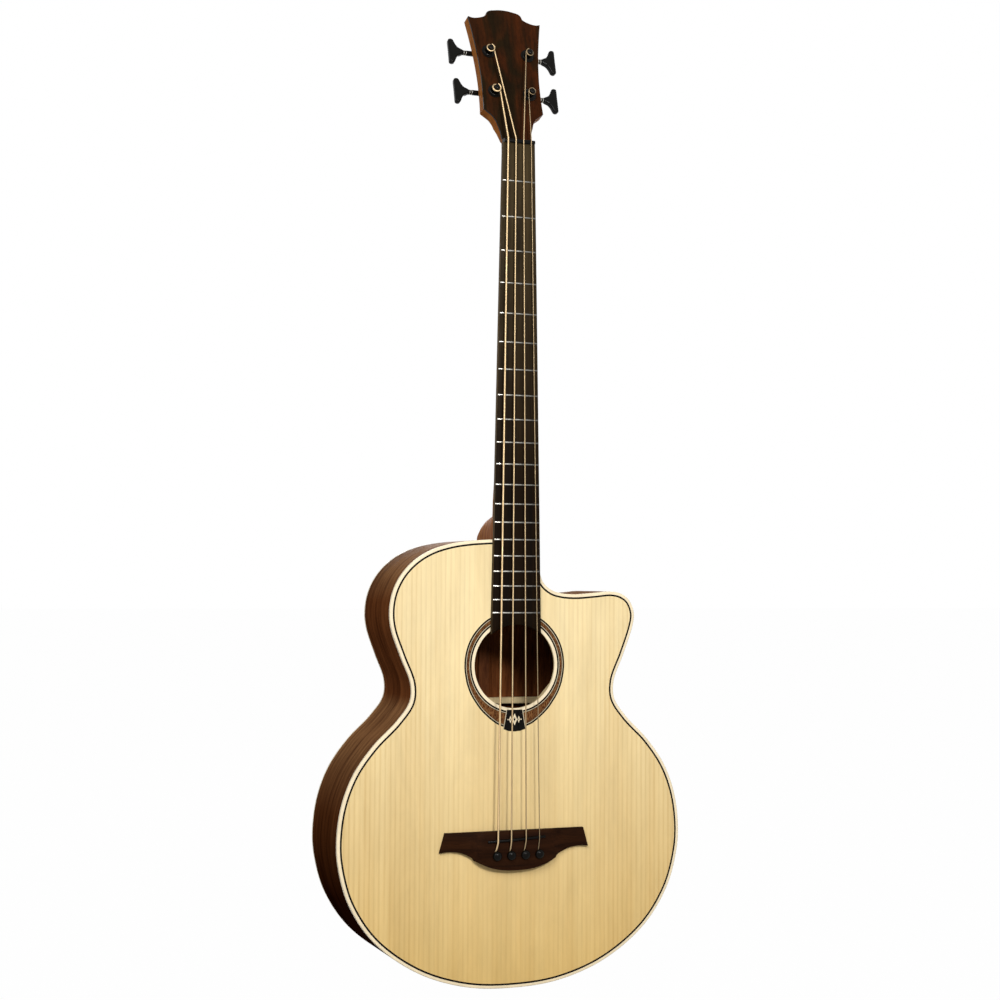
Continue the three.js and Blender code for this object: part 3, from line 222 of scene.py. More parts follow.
def colour(name, default, description):
    """A colour that a user may change."""
    return bpy.props.FloatVectorProperty(
        name=name, description=description, default=srgb(*default), size=3, min=0, max=1,
        subtype="COLOR",
    )


def amount(name, default, description):
    """A plain number that a user may change."""
    return bpy.props.FloatProperty(name=name, description=description, default=default, min=0)


class BassSizes(bpy.types.PropertyGroup):
    """Sizes of the trim and the small parts."""

    outline_step: length("Outline step", 0.004, "Distance between points along the body's edge")
    binding_width: length("Binding width", 0.0038, "Width of the pale binding on the faces")
    binding_height: length("Binding height", 0.004, "Height of the pale binding on the sides")
    binding_round: length("Binding rounding", 0.0012, "Rounding of the body's outer edge")
    purfling_width: length("Purfling width", 0.0023, "Width of the black line inside the binding")
    hole_ring: length("Hole ring width", 0.0039, "Width of the pale ring at the sound hole")
    black_line: length("Black line width", 0.0021, "Width of the rosette's black lines")
    pale_line: length("Pale line width", 0.0008, "Width of the rosette's pale lines")
    thin_line: length("Thin line width", 0.0005, "Width of the dark lines beside the rosette's band")
    fret_width: length("Fret width", 0.0023, "Width of a fret's crown")
    pin_radius: length("Pin radius", 0.0058, "Radius of a bridge pin's head")
    string_wrap: length("String wrap", 0.0006, "Distance between the turns of the wrap wire")


class BassColours(bpy.types.PropertyGroup):
    """Colours of the woods, plastics and metals."""

    spruce_light: colour("Spruce, light", (250, 229, 179), "Wood between the rings of the soundboard")
    spruce_dark: colour("Spruce, dark", (230, 200, 142), "Broad darker bands of the soundboard")
    spruce_ring: colour("Spruce, ring", (205, 168, 108), "Growth rings of the soundboard")
    mahogany_light: colour("Mahogany, light", (132, 78, 42), "Lighter figure of the sides and back")
    mahogany_dark: colour("Mahogany, dark", (76, 38, 18), "Darker figure of the sides and back")
    neck_light: colour("Neck, light", (188, 122, 60), "Lighter figure of the neck")
    neck_dark: colour("Neck, dark", (144, 82, 38), "Darker figure of the neck")
    veneer_brown: colour("Veneer, brown", (68, 33, 14), "Red-brown streaks of the headstock veneer")
    veneer_olive: colour("Veneer, olive", (37, 26, 13), "Olive streaks of the headstock veneer")
    veneer_black: colour("Veneer, black", (20, 14, 8), "Dark streaks of the headstock veneer")
    board_light: colour("Fretboard, light", (70, 57, 35), "Lighter figure of the fretboard")
    board_dark: colour("Fretboard, dark", (34, 26, 14), "Darker figure of the fretboard")
    board_side: colour("Fretboard, edge", (100, 82, 56), "Light figure of the fretboard's edges")
    bridge_light: colour("Bridge, light", (50, 27, 13), "Lighter figure of the bridge")
    bridge_dark: colour("Bridge, dark", (27, 13, 6), "Darker figure of the bridge")
    rosette_light: colour("Rosette, light", (134, 92, 54), "Light flecks of the rosette's band")
    rosette_dark: colour("Rosette, dark", (78, 42, 20), "Ground of the rosette's band")
    binding: colour("Binding", (246, 228, 192), "Binding and pale rings")
    pale_line: colour("Pale lines", (196, 182, 152), "Thin pale lines of the rosette")
    # Painted shade: these three colours darken the soundboard and the sides towards the tail and the
    # fretboard towards the body, standing in for falling light
    top_painted_shade: colour("Soundboard shade", (230, 214, 178), "Shade of the soundboard towards the tail")
    side_painted_shade: colour("Side shade", (110, 92, 80), "Shade of the sides towards the tail")
    board_painted_shade: colour("Fretboard shade", (116, 96, 72), "Shade of the fretboard towards the body")
    brace: colour("Brace wood", (236, 212, 162), "Braces and linings inside the body")
    black: colour("Black", (10, 8, 5), "Plastic, black lines and tuners")
    bronze: colour("String", (218, 188, 142), "Wound strings")
    fret: colour("Fret", (200, 196, 186), "Frets")


class BassLight(bpy.types.PropertyGroup):
    """The studio: lamps, camera and backdrop."""

    lens: bpy.props.FloatProperty(
        name="Lens", description="Focal length for a square picture", default=63.329, unit="CAMERA",
    )
    camera_place: bpy.props.FloatVectorProperty(
        name="Camera place", description="Where the camera stands", size=3,
        default=(-0.80792, -2.11071, 0.51199), subtype="TRANSLATION",
    )
    camera_turn: bpy.props.FloatVectorProperty(
        name="Camera turn", description="How the camera is turned", size=3, subtype="EULER",
        default=tuple(math.radians(a) for a in (92.6711, -0.3129, -20.9982)),
    )
    soft_power: amount("Soft lamp", 30, "Power of the broad lamp at the upper left")
    key_power: amount("Key lamp", 38, "Power of the small lamp in front")
    back_power: amount("Back lamp", 30, "Power of the broad lamp behind the guitar")
    sky: amount("Sky", 0.2, "Strength of the plain surroundings")
    floor_shadow: amount("Floor shadow", 0.01, "How much of its shading the floor shows")
    backdrop: colour("Backdrop", (255, 255, 255), "Floor and surroundings")


# Shapes
def mm(value):
    """A length of the settings in millimetres."""
    return value / MM


def smooth_line(points, step, closed=False):
    """Points about a step apart on a smooth curve through the given ones, the last left out."""
    line = [Vector(p) for p in points]
    count = len(line)
    made = []
    for i in range(count if closed else count - 1):
        p1, p2 = line[i], line[(i + 1) % count]
        p0 = line[i - 1] if closed or i else 2 * p1 - p2
        p3 = line[(i + 2) % count] if closed or i + 2 < count else 2 * p2 - p1
        d0, d1, d2 = (max((b - a).length ** 0.5, 1e-4) for a, b in ((p0, p1), (p1, p2), (p2, p3)))
        out = ((p1 - p0) / d0 - (p2 - p0) / (d0 + d1) + (p2 - p1) / d1) * d1
        into = ((p2 - p1) / d1 - (p3 - p1) / (d1 + d2) + (p3 - p2) / d2) * d1
        steps = max(1, round((p2 - p1).length / step))
        for k in range(steps):
            t = k / steps
            bend = (3 * (p2 - p1) - 2 * out - into) * t ** 2 + (2 * (p1 - p2) + out + into) * t ** 3
            made.append(p1 + out * t + bend)
    return made


def body_line(step):
    """The body's edge as points of X and Z."""
    def place(side, half, x_share, z_share):
        return side * half * x_share, TAIL_Z + BODY_LENGTH * z_share

    points = [place(1, UPPER_HALF, *share) for share in CUTAWAY]
    points += [place(1, *share) for share in reversed(TAIL_TO_WAIST)]
    points += [(0, TAIL_Z)] + [place(-1, *share) for share in TAIL_TO_WAIST]
    points += [place(-1, UPPER_HALF, *share) for share in BASS_SHOULDER]
    return smooth_line(points, step) + [Vector(points[-1])]


def inset_line(line, inset):
    """A closed line moved inwards, each point along the line that halves its corner."""
    def across(a, b):
        way = (b - a).normalized()
        return Vector((-way.y, way.x))

    made = []
    for before, here, after in zip(line[-1:] + line[:-1], line, line[1:] + line[:1]):
        first, second = across(before, here), across(here, after)
        made.append(here - (first + second) * inset / (1 + first.dot(second)))
    return made


def rosette_line(inset):
    """The rosette's outer edge, moved inwards, as points of X and Z."""
    def place(side, turn, share):
        angle, radius = turn * math.pi, ROSETTE_RADIUS * share
        return side * radius * math.sin(angle), HOLE_Z - radius * math.cos(angle)

    bass = [place(-1, *row) for row in ROSETTE_EDGE]
    treble = [place(1, *row) for row in ROSETTE_EDGE[1:-1]]
    return inset_line(smooth_line(bass + treble[::-1], FINE_STEP, closed=True), inset)


def circle_line(radius):
    """A circle about the sound hole's centre, its points in line with the rosette's."""
    centre = Vector((0, HOLE_Z))
    return [centre + (p - centre).normalized() * radius for p in rosette_line(0)]


def back_at(x, z):
    """Depth of the back's outer face."""
    share = (z - TAIL_Z) / BODY_LENGTH
    dome = BACK_DOME * 4 * share * (1 - share)
    return TAIL_DEPTH + (SHOULDER_DEPTH - TAIL_DEPTH) * share + dome - x * x / (2 * BACK_ARCH_RADIUS)


def crown(x):
    """Drop of a face that is arched like the fretboard."""
    return x * x / (2 * BOARD_RADIUS)


def fret_z(number):
    """Place of a fret along the string."""
    return -SCALE_LENGTH * (1 - 2 ** (-number / 12))


def board_half(z):
    """Half the fretboard's width."""
    return (NUT_WIDTH + (BOARD_END_WIDTH - NUT_WIDTH) * z / fret_z(FRET_COUNT)) / 2


def between(table, x):
    """A value from a table of pairs, along straight lines."""
    for (x0, y0), (x1, y1) in zip(table, table[1:]):
        if x <= x1:
            return y0 + (y1 - y0) * (x - x0) / (x1 - x0)
    return table[-1][1]


def ring(bm, points):
    """A closed loop of edges through the points."""
    verts = [bm.verts.new(p) for p in points]
    return [bm.edges.new((verts[i - 1], vert)) for i, vert in enumerate(verts)]


def loft(bm, rings, closed=False):
    """A skin through rings of like point counts, capped or joined round; gives each ring's points."""
    edges = ring(bm, rings[0])
    loops = [[edge.verts[1] for edge in edges]]
    ends = [edges]
    for points in rings[1:] + (rings[:1] if closed else []):
        made = bmesh.ops.extrude_edge_only(bm, edges=edges)["geom"]
        fresh = {item for item in made if isinstance(item, bmesh.types.BMVert)}
        added = [item for item in made if isinstance(item, bmesh.types.BMEdge)]
        edges = [edge for edge in added if fresh.issuperset(edge.verts)]
        loops.append([
            next(v for e in old.link_edges for v in e.verts if v in fresh) for old in loops[-1]
        ])
        for vert, point in zip(loops[-1], points):
            vert.co = point
    if closed:
        bmesh.ops.weld_verts(bm, targetmap=dict(zip(loops.pop(), loops[0])))
    else:
        for edge_loop in (ends[0], edges):
            bmesh.ops.contextual_create(bm, geom=edge_loop)
    return loops


def sweep(bm, line, rows):
    """A closed section round an edge: rows of inset, share of the back's depth and offset."""
    loft(bm, [
        [(p.x, share * back_at(p.x, p.y) + offset, p.y) for p in inset_line(line, inset)]
        for inset, share, offset in rows
    ], closed=True)


def band(bm, outer, inner, front, back):
    """A flat band between two edges of like point counts."""
    loft(bm, [
        [(p.x, y, p.y) for p in line]
        for line, y in ((outer, back), (outer, front), (inner, front), (inner, back))
    ], closed=True)


def thicken(bm, faces, vector):
    """The faces pushed out into a solid; gives the new points."""
    made = bmesh.ops.extrude_face_region(bm, geom=faces)
    verts = [v for v in made["geom"] if isinstance(v, bmesh.types.BMVert)]
    bmesh.ops.translate(bm, verts=verts, vec=vector)
    return verts


def plate(bm, lines, front, back):
    """A flat plate inside the first edge, with the others as holes."""
    edges = [e for line in lines for e in ring(bm, [(p.x, front, p.y) for p in line])]
    made = bmesh.ops.triangle_fill(bm, use_beauty=True, edges=edges)["geom"]
    thicken(bm, [f for f in made if isinstance(f, bmesh.types.BMFace)], (0, back - front, 0))


def sliced(bm, point, normal, cleared=False):
    """Cuts through everything along a plane; where asked, clears what lies behind it and closes the cut."""
    geom = bm.verts[:] + bm.edges[:] + bm.faces[:]
    bmesh.ops.bisect_plane(bm, geom=geom, plane_co=point, plane_no=normal, clear_inner=cleared)
    if cleared:
        bmesh.ops.holes_fill(bm, edges=[e for e in bm.edges if e.is_boundary])


def cut(bm, places, normal):
    """Cuts through everything at several places along one direction."""
    for place in places:
        sliced(bm, Vector(normal) * place, normal)


def turned(bm, profile, steps=40, matrix=Matrix.Identity(4)):
    """A shape turned about Z from pairs of radius and height."""
    before = set(bm.verts)
    verts = [bm.verts.new((r, 0, h)) for r, h in profile]
    edges = [bm.edges.new(pair) for pair in zip(verts, verts[1:])]
    bmesh.ops.spin(
        bm, geom=verts + edges, cent=(0, 0, 0), axis=(0, 0, 1), angle=2 * math.pi, steps=steps,
        use_merge=True, use_normal_flip=False, use_duplicate=False,
    )
    bmesh.ops.transform(bm, verts=[v for v in bm.verts if v not in before], matrix=matrix)


def box(bm, low, high):
    """A block between two corners; gives its points."""
    low, high = Vector(low), Vector(high)
    placed = Matrix.Translation((low + high) / 2) @ Matrix.Diagonal((*(high - low), 1))
    return bmesh.ops.create_cube(bm, size=1, matrix=placed)["verts"]


def soften(bm, edges, width, segments=2):
    """Rounds edges."""
    bmesh.ops.bevel(
        bm, geom=edges, offset=width, offset_type="OFFSET", affect="EDGES", segments=segments,
        profile=0.5, material=-1, clamp_overlap=True,
    )


def sharp_edges(bm, angle=35):
    """Edges whose faces meet at more than an angle in degrees."""
    return [e for e in bm.edges if len(e.link_faces) == 2 and e.calc_face_angle() > math.radians(angle)]


def finished(name, bm, matrix, material, body="root", replaced=(), sharp=38):
    """The bmesh as a piece of the guitar, in the frame, riding on its body."""
    bmesh.ops.transform(bm, verts=bm.verts[:], matrix=matrix)
    bmesh.ops.remove_doubles(bm, verts=bm.verts[:], dist=1e-6)
    bmesh.ops.recalc_face_normals(bm, faces=bm.faces[:])
    for face in bm.faces:
        face.smooth = True
    for edge in sharp_edges(bm, sharp):
        edge.smooth = False
    mesh = bpy.data.meshes.new(name)
    bm.to_mesh(mesh)
    bm.free()
    piece = bpy.data.objects.new(name, mesh)
    bpy.context.scene.collection.objects.link(piece)
    for one in material if isinstance(material, (list, tuple)) else [material]:
        mesh.materials.append(one)
    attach(piece, body)
    if replaced:
        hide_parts(*replaced)
    return piece


# Materials
MOTTLE_SCALE = (24, 24, 6)
# Sides: heights between which the shoulder's sheen sets in, its reflection strength raised by height, and how
# far a face turns up for its painted light, a lighter colour on upward faces
SHOULDER_SPAN, SHOULDER_SHEEN = (0.49, 0.56), 0.0006
UPWARD_SPAN, UPWARD_PAINTED_LIGHT = (0.15, 0.6), (1.5, 2.2, 2.9, 1)


def add(tree, kind, links=(), **values):
    """A node of a kind with its settings, and its inputs linked or set."""
    made = tree.nodes.new(kind)
    for key, value in values.items():
        setattr(made, key, value)
    for key, value in dict(links).items():
        if isinstance(value, bpy.types.NodeSocket):
            tree.links.new(value, made.inputs[key])
        else:
            made.inputs[key].default_value = value
    return made


def group(name, inputs, outputs):
    """An empty node group with its sockets; gives the tree, its input node and its output node."""
    tree = bpy.data.node_groups.new(name, "ShaderNodeTree")
    for label, kind, default in inputs:
        socket = tree.interface.new_socket(label, in_out="INPUT", socket_type=kind)
        if default is not None:
            socket.default_value = default
    for label, kind in outputs:
        tree.interface.new_socket(label, in_out="OUTPUT", socket_type=kind)
    return tree, tree.nodes.new("NodeGroupInput"), tree.nodes.new("NodeGroupOutput")


def mixed(tree, factor, a, b, blend="MIX"):
    """The colour between two colours."""
    made = add(tree, "ShaderNodeMix", data_type="RGBA", blend_type=blend)
    for index, value in ((0, factor), (6, a), (7, b)):
        if isinstance(value, bpy.types.NodeSocket):
            tree.links.new(value, made.inputs[index])
        else:
            made.inputs[index].default_value = value
    return made.outputs[2]


def ranged(tree, value, low, high, to_low=0, to_high=1):
    """A value stretched from one range to another."""
    links = {0: value, 1: low, 2: high, 3: to_low, 4: to_high}
    return add(tree, "ShaderNodeMapRange", links).outputs[0]


def summed(tree, operation, a, b):
    """Two values worked together."""
    return add(tree, "ShaderNodeMath", {0: a, 1: b}, operation=operation).outputs[0]


def noise(tree, vector, scale, detail=3, roughness=0.5, distortion=0):
    """A noise of one scale."""
    links = {"Vector": vector, "Scale": scale, "Detail": detail, "Roughness": roughness}
    links["Distortion"] = distortion
    return add(tree, "ShaderNodeTexNoise", links).outputs[0]


def grain_group():
    """Wood figure: the grain runs along Z of its vector, a unit across it is one broad streak."""
    if "Wood grain" in bpy.data.node_groups:
        return bpy.data.node_groups["Wood grain"]
    colour_kind, value_kind = "NodeSocketColor", "NodeSocketFloat"
    tree, given, result = group("Wood grain", [
        ("Vector", "NodeSocketVector", None), ("Light", colour_kind, None), ("Dark", colour_kind, None),
        ("Ring", colour_kind, None), ("Streaks", value_kind, 1), ("Rings", value_kind, 0),
        ("Ring scale", value_kind, 1), ("Pores", value_kind, 0.5),
    ], [("Color", colour_kind), ("Height", value_kind)])
    vector = given.outputs["Vector"]
    broad = noise(tree, vector, 1, 3, 0.5, 0.5)
    fine = noise(tree, vector, 6, 4, 0.6)
    streak = summed(tree, "ADD", summed(tree, "MULTIPLY", broad, 0.62), summed(tree, "MULTIPLY", fine, 0.38))
    streak = summed(tree, "MULTIPLY", ranged(tree, streak, 0.36, 0.64), given.outputs["Streaks"])
    wood = mixed(tree, streak, given.outputs["Light"], given.outputs["Dark"])
    wave = add(tree, "ShaderNodeTexWave", {
        "Vector": vector, "Scale": given.outputs["Ring scale"], "Distortion": 2.2, "Detail": 2,
        "Detail Scale": 0.9, "Detail Roughness": 0.5,
    }, bands_direction="X")
    strength = summed(tree, "MULTIPLY", ranged(tree, fine, 0.3, 0.7, 0.4, 1), given.outputs["Rings"])
    rings = summed(tree, "MULTIPLY", ranged(tree, wave.outputs[1], 0.5, 1), strength)
    wood = mixed(tree, rings, wood, given.outputs["Ring"])
    pores = ranged(tree, noise(tree, vector, 16, 2, 0.5), 0.6, 0.74)
    pores = summed(tree, "MULTIPLY", pores, given.outputs["Pores"])
    wood = mixed(tree, pores, wood, (0.25, 0.2, 0.17, 1), "MULTIPLY")
    tree.links.new(wood, result.inputs["Color"])
    height = summed(tree, "SUBTRACT", 1, summed(tree, "ADD", pores, summed(tree, "MULTIPLY", rings, 0.5)))
    tree.links.new(height, result.inputs["Height"])
    return tree


def polish_group():
    """Uneven polish: a roughness between two values and a height of fine unevenness."""
    if "Polish" in bpy.data.node_groups:
        return bpy.data.node_groups["Polish"]
    value_kind = "NodeSocketFloat"
    tree, given, result = group("Polish", [
        ("Vector", "NodeSocketVector", None), ("Scale", value_kind, 60), ("Low", value_kind, 0.2),
        ("High", value_kind, 0.35),
    ], [("Roughness", value_kind), ("Height", value_kind)])
    patch = noise(tree, given.outputs["Vector"], given.outputs["Scale"], 4, 0.55)
    fine = summed(tree, "MULTIPLY", given.outputs["Scale"], 9)
    speck = noise(tree, given.outputs["Vector"], fine, 2, 0.6)
    rough = ranged(tree, patch, 0.35, 0.65, given.outputs["Low"], given.outputs["High"])
    tree.links.new(rough, result.inputs["Roughness"])
    tree.links.new(speck, result.inputs["Height"])
    return tree


def material_start(name, metallic=0.0, specular=0.5):
    """A new material with one Principled shader, its tree and its object coordinates."""
    made = bpy.data.materials.new(name)
    made.use_nodes = True
    tree = made.node_tree
    shader = tree.nodes["Principled BSDF"]
    shader.inputs["Metallic"].default_value = metallic
    shader.inputs["Specular IOR Level"].default_value = specular
    where = tree.nodes.new("ShaderNodeTexCoord").outputs["Object"]
    return made, tree, shader, where


def bumped(tree, shader, height, strength, distance):
    """Links a height to the shader's normal."""
    bump = add(tree, "ShaderNodeBump", {"Height": height, "Strength": strength, "Distance": distance})
    tree.links.new(bump.outputs[0], shader.inputs["Normal"])


def polished(tree, shader, where, low, high, scale=60, bump=0.0):
    """Links an uneven polish to the shader."""
    made = add(tree, "ShaderNodeGroup", node_tree=polish_group())
    for key, value in (("Scale", scale), ("Low", low), ("High", high)):
        made.inputs[key].default_value = value
    tree.links.new(where, made.inputs["Vector"])
    tree.links.new(made.outputs["Roughness"], shader.inputs["Roughness"])
    if bump:
        bumped(tree, shader, made.outputs["Height"], bump, 0.0002)


def metal_with_painted_shade(tree, tone, where, reach, low, edge):
    """A metal's colour with painted shade: darker towards the treble side and where its face turns away."""
    across = add(tree, "ShaderNodeSeparateXYZ", {0: where}).outputs[0]
    treble_shade = ranged(tree, across, -reach, reach, 1, low)
    facing = add(tree, "ShaderNodeLayerWeight", {"Blend": 0.5}).outputs["Facing"]
    rim = ranged(tree, facing, 0.1, 0.85, 1, edge)
    return mixed(tree, summed(tree, "MULTIPLY", treble_shade, rim), (0, 0, 0, 1), tone)


def wood_material(name, light, dark, ring_tone, scale, rough, *, turn=(0, 0, 0), streaks=1.0, rings=0.0,
                  ring_scale=1.0, pores=0.5, specular=0.08, bump=0.2, book=False, edge_rings=False,
                  painted_shade_low=None, painted_shade_span=(0.02, 0.46), mottle=0.0):
    """A wood whose grain runs along the scaled and turned Z, with painted shade below a span of heights where
    asked.
    """
    if name in bpy.data.materials:
        return bpy.data.materials[name]
    made, tree, shader, where = material_start(name, specular=specular)
    source = where
    if book:
        source = add(tree, "ShaderNodeVectorMath", {0: where}, operation="ABSOLUTE").outputs[0]
    place = add(tree, "ShaderNodeMapping", {"Vector": source, "Rotation": turn, "Scale": scale})
    grain = add(tree, "ShaderNodeGroup", node_tree=grain_group())
    tree.links.new(place.outputs[0], grain.inputs["Vector"])
    for key, value in (("Light", light), ("Dark", dark), ("Ring", ring_tone)):
        if isinstance(value, bpy.types.NodeSocket):
            tree.links.new(value, grain.inputs[key])
        else:
            grain.inputs[key].default_value = (*value, 1)
    for key, value in (("Streaks", streaks), ("Rings", rings), ("Ring scale", ring_scale), ("Pores", pores)):
        grain.inputs[key].default_value = value
    if edge_rings:
        across = add(tree, "ShaderNodeSeparateXYZ", {0: source}).outputs[0]
        tree.links.new(ranged(tree, across, 0.05, 0.21, rings * 0.35, rings), grain.inputs["Rings"])
    shown = grain.outputs["Color"]
    # Painted shade: the colour darkens towards the given low tone below the span's heights, standing in for
    # falling light
    if painted_shade_low is not None:
        height = add(tree, "ShaderNodeSeparateXYZ", {0: where}).outputs[2]
        shade = mixed(tree, ranged(tree, height, *painted_shade_span), (*painted_shade_low, 1), (1, 1, 1, 1))
        shown = mixed(tree, 1, shown, shade, "MULTIPLY")
    if mottle:
        broad = add(tree, "ShaderNodeMapping", {"Vector": where, "Scale": MOTTLE_SCALE}).outputs[0]
        patch = ranged(tree, noise(tree, broad, 1, 7, 0.68, 0.4), 0.3, 0.7, 1 - mottle, 1 + mottle)
        shown = mixed(tree, 1, shown, patch, "MULTIPLY")
    tree.links.new(shown, shader.inputs["Base Color"])
    polished(tree, shader, where, rough * 0.85, rough * 1.2)
    bumped(tree, shader, grain.outputs["Height"], bump, 0.0003)
    return made


def plain_material(name, tone, rough, *, metallic=0.0, specular=0.3, spread=0.06, scale=60, bump=0.0):
    """A plastic, metal or painted finish with slightly uneven colour and polish."""
    if name in bpy.data.materials:
        return bpy.data.materials[name]
    made, tree, shader, where = material_start(name, metallic, specular)
    patch = ranged(tree, noise(tree, where, scale, 3, 0.5), 0.3, 0.7)
    tone = Vector(tone)
    colours = [(*(tone * share), 1) for share in (1 - spread, 1 + spread)]
    tree.links.new(mixed(tree, patch, *colours), shader.inputs["Base Color"])
    polished(tree, shader, where, rough * 0.8, rough * 1.25, scale, bump)
    return made


def spruce():
    """The soundboard: pale, book-matched, its rings bolder towards the edges, with painted shade darkening it
    towards the tail.
    """
    tone = bpy.context.scene.bass_colours
    return wood_material(
        "Spruce top", tone.spruce_light, tone.spruce_dark, tone.spruce_ring, (62, 62, 1.6), 0.42,
        streaks=0.45, rings=0.4, ring_scale=0.8, pores=0.03, specular=0.12, bump=0.05, book=True,
        edge_rings=True, painted_shade_low=tone.top_painted_shade, mottle=0.08,
    )


def mahogany():
    """Sides: dark, stained and lacquered, with painted shade towards the tail, painted light on faces turned
    up, and a sheen at the shoulder's height.
    """
    name = "Mahogany sides"
    if name in bpy.data.materials:
        return bpy.data.materials[name]
    tone = bpy.context.scene.bass_colours
    made = wood_material(
        name, tone.mahogany_light, tone.mahogany_dark, tone.mahogany_dark, (5, 90, 5), 0.34,
        rings=0.2, ring_scale=1.4, pores=0.55, specular=0, bump=0.12, painted_shade_low=tone.side_painted_shade,
        painted_shade_span=(0.12, 0.32),
    )
    tree = made.node_tree
    shader = tree.nodes["Principled BSDF"]
    texture = tree.nodes.new("ShaderNodeTexCoord")
    height = add(tree, "ShaderNodeSeparateXYZ", {0: texture.outputs["Object"]}).outputs[2]
    sheen = ranged(tree, height, *SHOULDER_SPAN, 0, SHOULDER_SHEEN)
    tree.links.new(sheen, shader.inputs["Specular IOR Level"])
    # Painted light: the colour is lightened on faces that turn up, where the light falls on them
    turned_up = add(tree, "ShaderNodeSeparateXYZ", {0: texture.outputs["Normal"]}).outputs[2]
    upward_painted_light = mixed(tree, ranged(tree, turned_up, *UPWARD_SPAN), (1, 1, 1, 1), UPWARD_PAINTED_LIGHT)
    figure = shader.inputs["Base Color"].links[0].from_socket
    tree.links.new(mixed(tree, 1, figure, upward_painted_light, "MULTIPLY"), shader.inputs["Base Color"])
    return made


def neck_mahogany():
    """Neck and headstock core: satin mahogany."""
    tone = bpy.context.scene.bass_colours
    return wood_material(
        "Neck mahogany", tone.neck_light, tone.neck_dark, tone.neck_dark, (110, 110, 5), 0.42,
        rings=0.25, ring_scale=1.2, pores=0.6, specular=0.005, bump=0.12,
    )


def board_wood():
    """Fretboard: dark, close-grained and bare, with painted shade darkening it towards the body."""
    tone = bpy.context.scene.bass_colours
    return wood_material(
        "Fretboard wood", tone.board_light, tone.board_dark, tone.board_dark, (130, 130, 4), 0.5,
        rings=0.3, ring_scale=1.5, pores=0.7, specular=0.04, bump=0.25,
        painted_shade_low=tone.board_painted_shade, painted_shade_span=(0.63, 1.04),
    )


def board_edge_wood():
    """Fretboard's edges, where the red-brown wood shows."""
    tone = bpy.context.scene.bass_colours
    return wood_material(
        "Fretboard edge", tone.board_side, tone.board_dark, tone.board_dark, (60, 260, 3), 0.5,
        rings=0.2, pores=0.5, bump=0.2,
    )


def bridge_wood():
    """Bridge: dark red-brown, its grain across the strings."""
    tone = bpy.context.scene.bass_colours
    return wood_material(
        "Bridge wood", tone.bridge_light, tone.bridge_dark, tone.bridge_dark, (4, 120, 120), 0.45,
        turn=(0, math.pi / 2, 0), rings=0.3, ring_scale=1.4, pores=0.7, specular=0.02, bump=0.22,
    )


def brace_wood():
    """Braces and linings: pale bare spruce."""
    tone = bpy.context.scene.bass_colours.brace
    dark = Vector(tone) * 0.72
    return wood_material(
        "Brace wood", tone, dark, dark, (60, 60, 8), 0.7, rings=0.3, ring_scale=1.6, pores=0.1,
    )


def binding_plastic():
    """Pale binding."""
    return plain_material("Pale binding", bpy.context.scene.bass_colours.binding, 0.35)


def black_plastic():
    """Black plastic and black lines."""
    tone = bpy.context.scene.bass_colours.black
    return plain_material("Black plastic", tone, 0.24, specular=0.08, spread=0.2)


def black_metal():
    """Black plated metal of the tuners."""
    tone = bpy.context.scene.bass_colours.black
    return plain_material("Black plating", tone, 0.2, specular=0.1, spread=0.25, scale=220, bump=0.04)


def collar_metal():
    """Polished metal of the keys' collars."""
    tone = bpy.context.scene.bass_colours.fret
    return plain_material("Collar metal", tone, 0.24, metallic=1.0, scale=300, bump=0.05)


def fret_metal():
    """Polished metal of the frets."""
    if "Fret metal" in bpy.data.materials:
        return bpy.data.materials["Fret metal"]
    made, tree, shader, where = material_start("Fret metal", metallic=1.0)
    patch = ranged(tree, noise(tree, where, 300, 2), 0.3, 0.7, 0.92, 1)
    tone = mixed(tree, patch, (0, 0, 0, 1), (*bpy.context.scene.bass_colours.fret, 1))
    # Painted shade on the frets: darker towards the treble side and at their rims
    tree.links.new(metal_with_painted_shade(tree, tone, where, 0.028, 0.22, 0.05), shader.inputs["Base Color"])
    polished(tree, shader, where, 0.2, 0.3, 300, 0.05)
    return made


# Operators
class BassOperator:
    """What every step of the guitar shares."""

    bl_options = {"REGISTER", "UNDO"}


